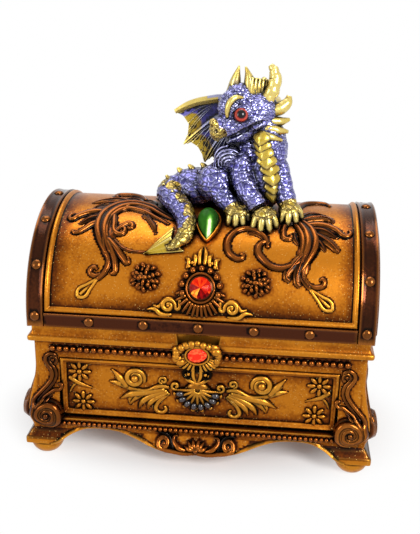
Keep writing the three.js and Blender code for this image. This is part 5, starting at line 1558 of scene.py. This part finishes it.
dome = [(0, math.cos(a), 1.0 + 2.2 * math.sin(a)) for a in (math.radians(9 * i) for i in range(1, 10))]
stone = raised_drop([(0, 1, 0), (0, 1, 1.0)] + dome)
stone_piece = finish_piece("green_drop", stone, "lid", [green_drop], ["drop_gem"], crisp=50)
keep_values(stone_piece, "facet", [drop_painted_highlight(v.co / MM) for v in stone_piece.data.vertices])
setting_line = [
    (1.0, 1, -6.5), (1.15, 1, 0.2), (1.1, 1, 1.2), (0.9, 1, 1.7), (0.6, 1, 1.75), (0.3, 1, 1.4),
    (0.2, 1, -0.2),
]
setting = raised_drop(setting_line, dip=2.6, slope=0.31)
finish_piece("drop_setting", setting, "lid", [gold_paint], ["drop_bezel"], crisp=60)

# %% [markdown]
# ## The dragon
#
# The dragon is sculpted. A sculptor starts from balls and rolls of clay, presses them together, smooths
# the joints, and only then cuts the scales. Here the clay is balls and tapering strokes, the pressing is
# a voxel remesh that makes one skin of them, smoothing is smoothing, and the scales are small moves of
# the skin along its own direction by a cell pattern. Horns, claws and plates are added after that, so
# that they stay crisp.

# %% Body of the dragon
CROWN = 103.0


def up(*places):
    return [(x, y, CROWN + z) for x, y, z in places]


TRUNK = (
    ((-6, 1, 6), (12.4, 10, 8.6)), ((7, 0, 8.6), (13, 9.4, 10)), ((22.5, -3, 13), (9.4, 8.8, 14.4)),
    ((16, -1, 20), (8.5, 8, 10.6)),
)
HEAD = (
    ((17.5, -2.5, 40), (10.0, 8.2, 8.8)), ((11.5, -4.6, 43.4), (6.9, 6.2, 8.4)),
    ((8.2, -7.2, 41.4), (5.2, 5.2, 7.4)), ((17.6, -8.4, 37.4), (5.4, 3.6, 4.2)),
    ((20.5, 4.2, 37.6), (5.4, 3.6, 4.4)), ((13.4, -9.4, 40.6), (4.6, 3.4, 4.4)),
    ((3.6, -10.0, 33.4), (3.7, 3.9, 4.7)), ((1.6, -11.4, 36.4), (1.6, 1.8, 1.6)),
)
LIMBS = (
    ((2.6, -8.2, 10.6), (7.5, 6.2, 8.0)), ((3, 8, 8), (7.4, 5.6, 8.4)), ((8.0, -6.6, 21), (5.8, 4.4, 5.4)),
    ((13.4, -7.8, 18.0), (4.8, 4.4, 6.6)), ((29, -5, 14.6), (4.4, 4.6, 7.4)),
)
PAWS = (
    ((23.4, -16.8, 0.4), (5.2, 4.6, 3.8)), ((34.0, -12.2, 1.2), (5.0, 4.4, 3.8)),
    ((12.6, -15.4, 0.6), (5.2, 4.4, 3.8)), ((10, 17.4, -0.4), (5, 4.6, 3.8)),
)
TAIL = (
    (-9, 1, 4.4), (-16.2, -2.4, 5.4), (-15.6, -8, 3.6), (-10.8, -14, 0.8), (-7.6, -20, -2.8),
    (-7.4, -25.4, -6), (-10.4, -29.2, -9), (-14.6, -30.8, -11),
)


def body_clay():
    clay = bmesh.new()
    for place, radii in TRUNK + HEAD + LIMBS + PAWS:
        made = bmesh.ops.create_icosphere(clay, subdivisions=3, radius=1)
        bmesh.ops.scale(clay, vec=radii, verts=made["verts"])
        bmesh.ops.translate(clay, vec=up(place)[0], verts=made["verts"])
    draw_strokes(clay, [
        (up((23, -3, 18), (24, -3, 28), (20, -2, 37)), [8.6, 7.4, 6.8]),
        (up((14, -3.6, 38.5), (8.6, -7.0, 35.6), (4.4, -9.6, 33.8)), [7.2, 6.0, 4.6]),
        (up((18, -3.4, 33.6), (12, -6, 31.4), (6.6, -8.8, 29.8)), [4.8, 3.6, 2.4]),
        (up((13, -6.6, 18), (15.0, -12.2, 11), (20.8, -15.6, 3.4)), [5.2, 4.5, 4.0]),
        (up((28.6, -5, 15), (31.4, -8.6, 7.6), (33.6, -11.2, 2)), [5.0, 4.3, 3.9]),
        (up((3.2, -8.4, 9.6), (7.2, -12.4, 5.2), (11.4, -14.2, 1.6)), [5.6, 4.5, 4.0]),
        (up((2, 6, 9), (5, 13, 4), (8, 16, 0)), [5.4, 4.6, 4]),
        (up(*TAIL), [7, 5.8, 5, 4.8, 4.3, 3.6, 2.6, 1.4]),
    ], sides=4, steps=8)
    return clay


def one_skin(clay, voxel):
    lump = put("clay", as_mesh("clay", clay))
    remesh = lump.modifiers.new("skin", "REMESH")
    remesh.mode = "VOXEL"
    remesh.voxel_size = voxel
    skin = after_modifiers(lump)
    bpy.data.objects.remove(lump)
    return skin


skin = one_skin(body_clay(), 0.36)
for _ in range(4):
    bmesh.ops.smooth_vert(skin, verts=skin.verts, factor=0.5, use_axis_x=True, use_axis_y=True, use_axis_z=True)
skin.normal_update()
print("dragon skin", len(skin.verts), "points")

# %% [markdown]
# Scales are cells of a pattern. Where the two nearest cell middles are equally far there is a groove;
# the skin is moved out between the grooves, most at the lower edge of a scale, as if it lay over the
# next one. The mouth is a groove pressed along a line. Two values stay on the skin for the paint:
# groove, and gilt in soft balls.

# %% Scales, mouth and gilding
MOUTH = [(1.5, 131.2), (4.2, 131.5), (6.8, 132.3), (12.6, 135.2), (19.2, 139.2), (21.5, 140.0)]
GILT_SPOTS = [
    ((0.6, -11.6, 137.0), 5.0), ((1.8, -12.6, 133.2), 4.8), ((4.6, -13.0, 134.8), 3.6),
    ((-13.0, -30.6, 92.6), 5.0), ((23.0, -17.6, 102.6), 6.8), ((34.2, -12.8, 103.8), 6.8),
    ((12.6, -16.2, 102.8), 6.6), ((10, 18, 102), 6.4), ((-19.4, -3.2, 111.6), 4.0),
    ((-15.0, -7.0, 110.2), 4.4), ((-9.6, -12.6, 107.6), 5.0), ((-5.6, -18.2, 103.6), 5.0),
    ((-4.6, -23.6, 99.4), 5.0), ((-7.6, -28.4, 95.6), 5.6),
]
SMALL_SCALE, LARGE_SCALE, THROAT = 1.8, 2.7, 130.0
MOUTH_REACH, NOSTRIL_REACH, NOSTRIL = 1.2, 1.1, (3.0, 136.2)
ASIDE = Vector((0.43, -0.9, 0)).normalized()
HEAD_MIDDLE = Vector((13.0, -4.2, 143.0))


def far_side(point):
    """The matching place on the other half of the turned head."""
    point = Vector(point)
    return point - ASIDE * (2 * (point - HEAD_MIDDLE).dot(ASIDE))


def line_distance(u, v, line):
    best = 1e9
    for (u0, v0), (u1, v1) in zip(line, line[1:]):
        du, dv = u1 - u0, v1 - v0
        share = clamp(((u - u0) * du + (v - v0) * dv) / (du * du + dv * dv))
        best = min(best, math.hypot(u - u0 - du * share, v - v0 - dv * share))
    return best


def scale_relief(place):
    """0 in the groove between two scales and 1 on a scale, highest at its lower edge, as scales overlap."""
    size = SMALL_SCALE if place.z > THROAT else LARGE_SCALE
    spot = Vector((place.x / size, place.y / size, place.z / (size * 0.7)))
    distances, middles = noise.voronoi(spot)
    groove = min((distances[1] - distances[0]) / 0.3, 1.0) ** 0.6
    return groove * clamp(0.75 + 0.55 * (middles[0].z - spot.z), high=1.2)


def face_lines(place):
    """Depth and clearness of the mouth line and the nostrils at a place on the skin."""
    aside = (place - HEAD_MIDDLE).dot(ASIDE)
    if place.z <= 128 or abs(aside) <= 1.5:
        return 0.0, 1.0
    line = place if aside > 0 else far_side(place)
    depth, clear = 0.0, 1.0
    gap = line_distance(line.x, line.z, MOUTH)
    if gap < MOUTH_REACH:
        depth += 1.3 * (1 - gap / MOUTH_REACH) ** 0.7
        clear = min(clear, gap / MOUTH_REACH)
    nostril = math.hypot(line.x - NOSTRIL[0], line.z - NOSTRIL[1])
    if nostril < NOSTRIL_REACH and line.y < -9:
        depth += 0.9 * (1 - nostril / NOSTRIL_REACH)
        clear = min(clear, nostril / NOSTRIL_REACH)
    return depth, clear


def carve_scales(skin):
    moves, gilts, grooves = [], [], []
    for vert in skin.verts:
        relief = scale_relief(vert.co)
        depth, clear = face_lines(vert.co)
        moves.append(0.42 * relief - 0.25 + 0.4 * noise.noise(vert.co * 0.3) - depth)
        gilts.append(max(clamp((reach - (vert.co - Vector(spot)).length) / 1.6) for spot, reach in GILT_SPOTS))
        grooves.append(1 - min(relief, clear))
    for vert, swell in zip(skin.verts, moves):
        vert.co += vert.normal * swell
    for name, values in (("gilt", gilts), ("groove", grooves)):
        layer = skin.verts.layers.float.new(name)
        for vert, value in zip(skin.verts, values):
            vert[layer] = value


carve_scales(skin)
skin_tree = BVHTree.FromBMesh(skin)
print("scales carved")

# %% Horns, claws, plates and spines
def ringed(path, widths, rings):
    """A horn with rings: its width swells and narrows as it tapers."""
    knots = [Vector(p) for p in path]
    count = rings * 2 + 1
    points = [spread(knots, i / (count - 1)) for i in range(count)]
    return points, [spread(widths, i / (count - 1)) * (1.0 if i % 2 else 0.92) for i in range(count)]


def horns():
    spikes = [
        (up((8.6, -3.6, 45.5), (9.6, -4.2, 52), (10.9, -5.0, 58.0)), [3.3, 2.3, 0.35]),
        (up((15.2, -5.0, 46.0), (15.2, -5.0, 52), (13.5, -4.6, 57.8)), [3.3, 2.3, 0.35]),
    ]
    for k in range(5):
        x, y = 15.6 + 1.45 * k, -6.6 + 0.9 * k
        path = up((x, y, 46), (x + 0.3, y + 0.3, 50.4), (x + 0.8, y + 0.8, 53.8 - 0.3 * k))
        spikes.append((path, [1.5, 1.3, 0.7]))
    ram = up((21.6, -4.6, 43.5), (24.4, -4.0, 48.5), (25.6, -3.4, 53), (24.6, -3.0, 56.6), (23.2, -2.8, 58.4))
    spikes.append(ringed(ram, [3.3, 3.2, 2.8, 2.1, 1.1], 6))
    spikes.append(ringed([far_side(p) - Vector((0, 0, 6.0)) for p in ram], [3.3, 3.1, 2.6, 1.9, 1.0], 6))
    pairs = [
        (up((24.2, -4.4, 40.6), (28.0, -3.4, 41.6), (30.6, -2.4, 43.8), (31.4, -1.8, 46.4)),
         [2.8, 2.9, 2.3, 1.1]),
        (up((23.2, -5.8, 36.8), (27.8, -4.8, 36.4), (32.0, -3.4, 37.2)), [2.3, 2.1, 0.7]),
        (up((22.2, -7.2, 34.2), (27.0, -6.8, 33.2), (31.6, -5.6, 32.6)), [2.2, 2.1, 0.7]),
        (up((20.8, -8.4, 32.0), (25.2, -8.6, 30.6), (29.4, -7.6, 29.4)), [2.0, 1.9, 0.6]),
        (up((7.2, -12.2, 38.6), (7.2, -12.6, 41.4), (8.2, -12.2, 44.6), (10.2, -11.5, 46.4),
            (13.2, -10.4, 46.4)),
         [0.6, 1.1, 1.35, 1.15, 0.5]),
    ]
    for path, widths in pairs:
        spikes.append((path, widths))
        spikes.append(([far_side(p).lerp(HEAD_MIDDLE, 0.08) for p in path], [w * 0.8 for w in widths]))
    return spikes


def claws():
    strokes = []
    for middle, toes in (
        ((12.6, -15.4, 1.0), ((9.2, -18.4), (12.2, -19.4), (15.2, -18.8), (17.6, -16.8))),
        ((23.4, -16.8, 1.0), ((19.4, -19.8), (22.6, -21.2), (26.0, -21.0), (28.6, -18.8))),
        ((34.0, -12.2, 1.8), ((30.6, -15.8), (33.4, -16.8), (36.6, -16.0), (38.8, -13.4))),
        ((10.0, 17.4, 0.0), ((7.0, 20.8), (10.0, 21.8), (13.0, 20.6))),
    ):
        for x, y in toes:
            ground = SPRING + BARREL_TALL * math.sqrt(1 - (y / BARREL_DEEP) ** 2)
            start = Vector((middle[0], middle[1], CROWN + middle[2] + 1.2))
            end = Vector((x, y, ground + 1.1))
            knuckle = start.lerp(end, 0.66) + Vector((0, 0, 1.5))
            last = end + (end - knuckle).normalized() * 1.5 - Vector((0, 0, 0.5))
            strokes.append(([start, knuckle, end, last], [1.7, 1.8, 1.3, 0.3]))
    return strokes


def spines():
    strokes = []
    for x, y, z, tall in (
        (-17.6, -1.0, 8.6, 2.8), (-13.0, 0.6, 12.2, 2.2), (-8.4, 1.4, 13.6, 2.2), (-3.2, 1.8, 14.6, 1.9),
        (2.4, 2.0, 16.8, 1.9), (7.4, 2.2, 20.4, 2.2), (11.6, 3.0, 26.6, 2.4), (15.4, 4.0, 33.0, 2.4),
    ):
        path = up((x + 1.2, y, z - 1.5), (x, y, z + tall * 0.35), (x - 1.3, y, z + tall))
        strokes.append((path, [1.9, 1.4, 0.5]))
    for x, y, z in (
        (-18.6, -6.4, 8.0), (-14.4, -11.0, 6.4), (-10.4, -16.0, 4.0), (-7.8, -21.4, 0.6), (-7.4, -26.0, -2.6),
    ):
        path = up((x, y, z - 1.0), (x - 0.2, y - 0.4, z + 0.4), (x - 0.4, y - 1.4, z + 1.4))
        strokes.append((path, [1.5, 1.1, 0.4]))
    return strokes


def on_skin(x, z, lift):
    """The near skin of the dragon, found by a ray from the front, and its direction there."""
    hit, normal = skin_tree.ray_cast(Vector((x, -60, z)), Vector((0, 1, 0)))[:2]
    if hit is None:
        hit, normal = skin_tree.find_nearest(Vector((x, -8, z)))[:2]
    return hit + normal * lift, normal


def add_plates(sheet):
    """Belly plates: leaves that overlap down the throat and chest, broad above and pointed below."""
    line = (
        (21.0, 30.2), (21.5, 27.4), (22.4, 24.4), (23.6, 21.2), (24.9, 17.8), (26.0, 14.2), (26.6, 10.6),
        (26.6, 7.2),
    )
    for i, (x, z) in enumerate(line):
        seat, normal = on_skin(x, CROWN + z, 0.1)
        wide, long = 3.4 + 0.9 * math.sin(math.pi * (i + 1) / 9), 3.3
        plate = add_ball(sheet, (0, 0, 0), (wide, long, 1.1), across=16, along=10)
        for vert in plate:
            if vert.co.y < 0:
                vert.co.x *= 1 + 0.6 * vert.co.y / long
            vert.co.z += 0.7 * (1 - abs(vert.co.x) / wide)
        turn = (normal + Vector((0, 0, 0.35))).to_track_quat("Z", "Y")
        bmesh.ops.transform(sheet, matrix=Matrix.LocRotScale(seat, turn, None), verts=plate)


def shoulder_ridges():
    """Curved ridges round the root of the near wing."""
    strokes = []
    for k in range(5):
        reach = 1.9 + 1.25 * k
        angles = [math.radians(50 + 150 * i / 6) for i in range(7)]
        line = [on_skin(8.4 + reach * math.cos(a), 122.4 + reach * math.sin(a), 0.1)[0] for a in angles]
        strokes.append((line, [0.2, 0.45, 0.5, 0.4, 0.2]))
    return strokes


def horn_work():
    sheet = bmesh.new()
    draw_strokes(sheet, shoulder_ridges())
    draw_strokes(sheet, horns() + claws() + spines(), sides=2)
    add_plates(sheet)
    sheet.normal_update()
    for vert in sheet.verts:
        vert.co += vert.normal * 0.1 * noise.noise(vert.co * 0.9)
    return sheet


def tail_leaf(sheet):
    """The arrow at the end of the tail: a ridged leaf lying on the barrel, notched where the tail comes in."""
    tip, upper, lower = (Vector((x, roll_at(t))) for x, t in ((-23.4, 40.5), (-12.6, 60.0), (-7.2, 43.5)))
    made = bmesh.ops.create_grid(sheet, x_segments=22, y_segments=20, size=1)
    for vert in made["verts"]:
        along, across = (vert.co.x + 1) / 2, vert.co.y
        spot = lower.lerp(upper, (across + 1) / 2).lerp(tip, along)
        spot += (tip - (lower + upper) / 2) * 0.22 * (1 - abs(across)) * (1 - along)
        ripple = 0.35 * math.cos(across * 4 * math.pi) * (1 - along)
        rise = 0.6 + (1 - abs(across)) * 3.0 * (1 - 0.7 * along) + ripple
        vert.co = over_barrel(Vector((spot.x, spot.y, rise)))
    faces = once(f for v in made["verts"] for f in v.link_faces)
    bmesh.ops.remove_doubles(sheet, verts=made["verts"], dist=1e-3)
    faces = [f for f in faces if f.is_valid]
    bmesh.ops.recalc_face_normals(sheet, faces=faces)
    if sum(f.normal.y for f in faces) > 0:
        bmesh.ops.reverse_faces(sheet, faces=faces)
    bmesh.ops.solidify(sheet, geom=faces, thickness=0.6)


finish_piece("dragon", skin, "lid", [dragon_paint], ["dragon_figure"], crisp=180, fix=False)
work = horn_work()
tail_leaf(work)


def work_gilt(place):
    """Gold everywhere but on the shoulder ridges and the half silvered crown spikes."""
    if 118 < place.z < 130 and place.y < -4 and 1 < place.x < 14:
        return 0.1
    return 0.62 if place.z > 150.5 and place.x < 16 else 1.0


gilt = work.verts.layers.float.new("gilt")
for vert in work.verts:
    vert[gilt] = work_gilt(vert.co)
finish_piece("dragon_horns", work, "lid", [horn_paint], crisp=180)

# %% [markdown]
# A wing is a fan of bones with skin between them. The skin is a thin sheet cut to a scalloped outline,
# and the bones and the fine ribs are strokes that stand a little out of it on both sides. The second
# wing is the same one, folded behind the neck.

# %% Wings
WING_EDGE = [
    (10, 17), (10.5, 30), (10, 42.6), (3, 43.2), (-4, 42.2), (-10, 40.6), (-16.2, 37.2), (-12.6, 35.6),
    (-10.2, 32.2), (-10.6, 27.6), (-12.6, 23.4), (-9.0, 24.4), (-6.2, 22.6), (-4.4, 19.6), (-3.4, 16.0),
    (0, 18.6), (4, 17.6),
]
WING_Y, WING_THICK = 5.7, 0.6


def wing():
    sheet = prism([(x, WING_Y, CROWN + z) for x, z in WING_EDGE], (0, WING_THICK, 0))
    bmesh.ops.triangulate(sheet, faces=sheet.faces)
    slice_up(sheet, 0, -15, 9, 1.2)
    slice_up(sheet, 2, CROWN + 18, CROWN + 42, 1.2)
    bones = [
        ([(11, 40), (6, 43.0), (-3, 42.4), (-10, 40.4), (-16, 37.2)], [2.0, 1.9, 1.8, 1.7, 1.1]),
        ([(9, 39), (1, 35), (-6.5, 29), (-12.4, 23.6)], [1.5, 1.0, 0.8, 0.5]),
        ([(9.5, 36), (4.4, 29), (0, 22.4), (-3.2, 16.2)], [1.5, 1.0, 0.8, 0.5]),
    ]
    ribs = []
    for start, ends in (((2, 41.6), [(-14, 36.6), (-12, 34.9), (-10.4, 32.4), (-10.2, 29.6), (-11, 26.6)]),
                        ((5, 35.6), [(-10.8, 23.9), (-8.8, 24.2), (-6.6, 22.8), (-4.8, 20.2), (-3.8, 17.6)]),
                        ((9, 32), [(-1.4, 17.6), (0.6, 18.2), (3, 17.9), (5.6, 17.7), (8.4, 17.4)])):
        for end in ends:
            half_way = ((start[0] + end[0]) / 2 - 0.4, (start[1] + end[1]) / 2 + 0.9)
            ribs.append(([start, half_way, end], [0.25, 0.5, 0.42]))
    middle = WING_Y + WING_THICK / 2
    draw_strokes(sheet, [([(x, middle, CROWN + z) for x, z in line], widths) for line, widths in bones + ribs])
    gilt, groove = (sheet.verts.layers.float.new(name) for name in ("gilt", "groove"))
    for vert in sheet.verts:
        x, z = vert.co.x, vert.co.z - CROWN
        scallop = line_distance(x, z, WING_EDGE[6:15])
        rod = line_distance(x, z, WING_EDGE[2:7])
        on_rod = rod < 1.7 and x < 2
        vert[groove] = 0.0 if on_rod else 0.85 * clamp((scallop - 2.0) / 5) * (x < 8)
        vert[gilt] = 1.0 if on_rod else clamp((8.0 - scallop) / 5) * clamp((rod - 2.4) / 2.5)
    return sheet


def folded_wing():
    sheet = wing()
    shift(sheet, -10, -6, 0)
    spin(sheet, -112)
    shift(sheet, 19, 6, 0)
    return sheet


finish_piece("wing_spread", wing(), "lid", [horn_paint], ["dragon_wing_left"], crisp=50)
finish_piece("wing_folded", folded_wing(), "lid", [horn_paint], ["dragon_wing_right"], crisp=50)

# %% Eyes
def eye(name, node, gaze):
    low, high = (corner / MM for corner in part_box(node))
    middle = (low + high) / 2
    sheet = bmesh.new()
    add_ball(sheet, middle, (3.0, 3.0, 3.0), across=32, along=20)
    layer = sheet.verts.layers.float.new("gaze")
    for vert in sheet.verts:
        vert[layer] = max(0.0, (vert.co - middle).normalized().dot(gaze.normalized()))
    finish_piece(name, sheet, "lid", [eye_glass], [node], crisp=180)


eye("eye_near", "dragon_eye_right", Vector((0.12, -0.93, 0.34)))
eye("eye_far", "dragon_eye_left", Vector((-0.75, 0.6, 0.2)))

# %% [markdown]
# ## Hinges
#
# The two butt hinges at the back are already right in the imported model, down to pins and screws, so they
# stay and only get their brass.

# %% Brass on the hinges
for name, node in frame["nodes"].items():
    if name.startswith(("hinge_", "screw_")):
        node.material_slots[0].material = hinge_brass
print("brass parts", sum(n.startswith(("hinge_", "screw_")) for n in frame["nodes"]))

# %% [markdown]
# ## Measuring wash and painted shade, brush and painted highlight
#
# Wash gathers where a brush can't reach, and shade falls in the same places, so one value paints both
# the dark wash and painted shade. To find those places, a bundle of rays leaves every vertex: the more
# of them that soon meet another surface, the deeper the hollow. A dry brush does the opposite and touches
# what stands out, where highlights also fall, so the second value paints both dry-brushed paint and
# painted highlight: a vertex that lies further out than the middle of its neighbours is on an edge or a bump.

# %% Wash and painted shade, brush and painted highlight values
RAY_COUNT = 34
RAYS = []
for i in range(RAY_COUNT):
    height = 1 - 2 * (i + 0.5) / RAY_COUNT
    angle = i * math.pi * (3 - math.sqrt(5))
    level = math.sqrt(1 - height * height)
    RAYS.append(Vector((level * math.cos(angle), level * math.sin(angle), height)))


# Rays that soon meet another surface raise the value: partly dark wash, partly painted shade from the parts
# around.
def measure_wash_and_shade(pieces, close, far):
    everything = bmesh.new()
    for piece in pieces:
        everything.from_mesh(piece.data)
    tree = BVHTree.FromBMesh(everything)
    everything.free()
    for piece in pieces:
        values = []
        for vert in piece.data.vertices:
            normal = vert.normal
            start = vert.co + normal * 0.00008
            met = seen = 0.0
            for ray in RAYS:
                facing = normal.dot(ray)
                if facing > 0.15:
                    seen += facing
                    distance = tree.ray_cast(start, ray, far)[3]
                    if distance is not None:
                        met += facing * (0.62 * max(1 - distance / close, 0) + 0.38 * (1 - distance / far))
            values.append(met / seen if seen else 0.0)
        keep_values(piece, "wash", values)


def measure_brush_and_highlight(piece, gain, shy):
    """Dry brush and painted highlight: gain is how much paint is on the brush, shy the wash from which on it
    stays out.
    """
    sheet = bmesh.new()
    sheet.from_mesh(piece.data)
    wash = piece.data.attributes["wash"].data
    values = []
    for vert in sheet.verts:
        around = [e.other_vert(vert).co for e in vert.link_edges]
        if not around:
            values.append(0.0)
            continue
        middle = sum(around, Vector()) / len(around)
        length = sum((p - vert.co).length for p in around) / len(around)
        proud = (vert.co - middle).dot(vert.normal) / max(length, 1e-6)
        reached = max(0.0, 1 - wash[vert.index].value / shy)
        values.append(clamp(proud * gain) * reached)
    sheet.free()
    keep_values(piece, "brush", values)


BRUSH_AND_HIGHLIGHT_GAINS = {
    "dragon": (2.1, 0.3), "strap": (4.0, 0.3), "band": (4.0, 0.3), "end": (3.0, 0.3),
    "acanthus": (2.4, 0.18), "corner": (1.7, 0.18), "skirt": (1.8, 0.2), "rosette": (1.8, 0.25),
    # The front left scroll gets less light edge colour: painted shade, as it faces away from the main lamp.
    "corner_scroll_front_left": (0.9, 0.14),
}
for body, pieces in dressed.items():
    measure_wash_and_shade(pieces, 0.0036, 0.014)
    for piece in pieces:
        kind = piece.name if piece.name in BRUSH_AND_HIGHLIGHT_GAINS else piece.name.split("_")[0]
        measure_brush_and_highlight(piece, *BRUSH_AND_HIGHLIGHT_GAINS.get(kind, (1.6, 0.3)))


TRIM_IN_X, TRIM_IN_LENGTH = 59.9, 5.6
FRAME_IN_X, FRAME_IN_Y, FRAME_IN_LOW, FRAME_IN_HIGH = 54.6, 27.6, 21.8, 43.2
NOWHERE = 99.0


def shift_wash_and_shade(piece, depth_at, reach, amount):
    """More wash where dark paint runs, along the inner edges of frames and on ledges, and painted shade under
    the rim.
    """
    store = piece.data.attributes["wash"].data
    for vert, value in zip(piece.data.vertices, store):
        value.value += amount * clamp(1 - depth_at(vert.co / MM, vert.normal) / reach)


for piece in dressed["lid"]:
    if "groove" in piece.data.attributes:
        for value, groove in zip(piece.data.attributes["wash"].data, piece.data.attributes["groove"].data):
            value.value += 0.28 * groove.value


def barrel_depth(place, normal):
    rise, run = (place.z - SPRING) / BARREL_TALL, -place.y / BARREL_DEEP
    length = roll_at(clamp(math.degrees(math.atan2(rise, run)), high=180))
    return min(TRIM_IN_X - abs(place.x), length - TRIM_IN_LENGTH, ROLL - TRIM_IN_LENGTH - length)


def panel_depth(place, normal):
    if abs(abs(place.y) - PANEL_Y) < 0.1:
        return min(FRAME_IN_X - abs(place.x), place.z - FRAME_IN_LOW, FRAME_IN_HIGH - place.z)
    if abs(abs(place.x) - PANEL_X) < 0.1:
        return min(FRAME_IN_Y - abs(place.y), place.z - FRAME_IN_LOW, FRAME_IN_HIGH - place.z)
    return NOWHERE


def plinth_depth(place, normal):
    return 0.0 if place.z < WAIST and normal.z > 0.25 and abs(place.x) > 22 else NOWHERE


def bead_depth(place, normal):
    """The strips of wall behind the beads, but not the corners."""
    between = 46.4 < place.z < 53.3 or WAIST < place.z < 18.8
    along = abs(place.x) < 60 or abs(place.y) < 33
    return 0.0 if between and along and abs(normal.z) < 0.9 else NOWHERE


def fan_depth(place, normal):
    """Brown breath of paint round the fan on the front panel."""
    return math.hypot(place.x * 0.75, place.z - 33) if place.y < -39 else NOWHERE


# Painted shade under the rim's lip, and darker paint on its upper slope, so its outer bead stays bright.
def rim_shade_depth(place, normal):
    return 0.0 if 55.5 < place.z < 59.8 or 52.4 < place.z < 53.6 else NOWHERE


def everywhere(place, normal):
    return 0.0


shift_wash_and_shade(lid_piece, barrel_depth, 7.0, 0.3)
shift_wash_and_shade(base_piece, panel_depth, 5.0, 0.17)
shift_wash_and_shade(base_piece, plinth_depth, 1.0, 0.32)
shift_wash_and_shade(base_piece, bead_depth, 1.0, 0.06)
shift_wash_and_shade(base_piece, rim_shade_depth, 1.0, 0.08)
for piece in dressed["base"]:
    if piece.name in ("base_walls", "leaf_spray_left", "leaf_spray_right", "fan_of_drops"):
        shift_wash_and_shade(piece, fan_depth, 18.0, 0.15)
SHIFTS = {
    "leaf_spray": 0.04, "beads": -0.22, "corner_scroll": 0.08,
    "strap_left": 0.05, "strap_right": 0.16, "end_plate": 0.1, "band": -0.1,
}
for piece in dressed["base"] + dressed["lid"]:
    for start, amount in SHIFTS.items():
        if piece.name.startswith(start):
            shift_wash_and_shade(piece, everywhere, 1.0, amount)
print("measured", {body: sum(len(p.data.vertices) for p in pieces) for body, pieces in dressed.items()})

# %% [markdown]
# ## Floor and light
#
# The photograph was taken in a white tent: soft light from above and the right, a white surface below.
# The floor is a real surface that keeps the soft shadow of the chest, and it fades to plain white away
# from the chest. The tent is white for the camera and for what shines or is clear, and dim for all else,
# so that shadows stay.

# %% Floor, lamps and world
SHADOW_X, SHADOW_Y = 0.078, 0.05
AMBIENT = 0.2


def seen_rays(mix):
    """1 for rays that show the tent itself: to the camera, off a shiny surface or through a clear one."""
    path = mix.nodes.new("ShaderNodeLightPath")
    shiny = mix.math("ADD", path.outputs["Is Camera Ray"], path.outputs["Is Glossy Ray"])
    return mix.math("ADD", shiny, path.outputs["Is Transmission Ray"])


def pale_floor():
    sheet = bmesh.new()
    bmesh.ops.create_grid(sheet, x_segments=1, y_segments=1, size=12)
    floor = put("pale_floor", as_mesh("pale_floor", sheet))
    finish, mix = new_finish("pale_floor_paper")
    shrunk, away = (mix.nodes.new("ShaderNodeVectorMath") for _ in range(2))
    shrunk.operation = "MULTIPLY"
    shrunk.inputs[1].default_value = (1 / SHADOW_X, 1 / SHADOW_Y, 1)
    mix.feed(shrunk.inputs[0], mix.place())
    away.operation = "LENGTH"
    mix.feed(away.inputs[0], shrunk.outputs["Vector"])
    fade = mix.between(away.outputs["Value"], 0.75, 1.35, lowest=0.1, kind="SMOOTHSTEP")
    mix.finish({"Base Color": (0.9, 0.9, 0.9), "Roughness": 0.7})
    glow, paper = (mix.nodes.new(kind) for kind in ("ShaderNodeEmission", "ShaderNodeMixShader"))
    mix.feed(paper.inputs["Fac"], mix.math("MULTIPLY", fade, seen_rays(mix)))
    mix.feed(paper.inputs[1], mix.nodes["Principled BSDF"].outputs["BSDF"])
    mix.feed(paper.inputs[2], glow.outputs["Emission"])
    mix.feed(mix.nodes["Material Output"].inputs["Surface"], paper.outputs["Shader"])
    floor.data.materials.append(finish)


def soft_lamp(name, place, target, size, power):
    lamp = bpy.data.lights.new(name, "AREA")
    lamp.shape = "RECTANGLE"
    lamp.size, lamp.size_y = size
    lamp.energy = power
    holder = put(name, lamp)
    holder.location = place
    holder.rotation_euler = (Vector(target) - Vector(place)).to_track_quat("-Z", "Y").to_euler()


def white_world():
    world = bpy.data.worlds.new("white_tent")
    bpy.context.scene.world = world
    world.use_nodes = True
    mix = Recipe(world.node_tree)
    backdrop = mix.nodes["Background"]
    mix.feed(backdrop.inputs["Color"], (1, 1, 1))
    shown = mix.math("MULTIPLY_ADD", seen_rays(mix), 1 - AMBIENT, AMBIENT)
    mix.feed(backdrop.inputs["Strength"], mix.math("MINIMUM", shown, 1.0))


pale_floor()
white_world()
soft_lamp("tent_top", (-0.08, 0.2, 0.79), (0, 0, 0.08), (0.6, 0.45), 3.3)
soft_lamp("tent_right", (0.45, -0.6, 0.5), (0, 0, 0.08), (0.3, 0.4), 7.5)
soft_lamp("tent_left", (-0.55, -0.5, 0.3), (0, 0, 0.07), (0.25, 0.4), 1.8)
bpy.context.scene.view_settings.view_transform = "Standard"
print("stage set")
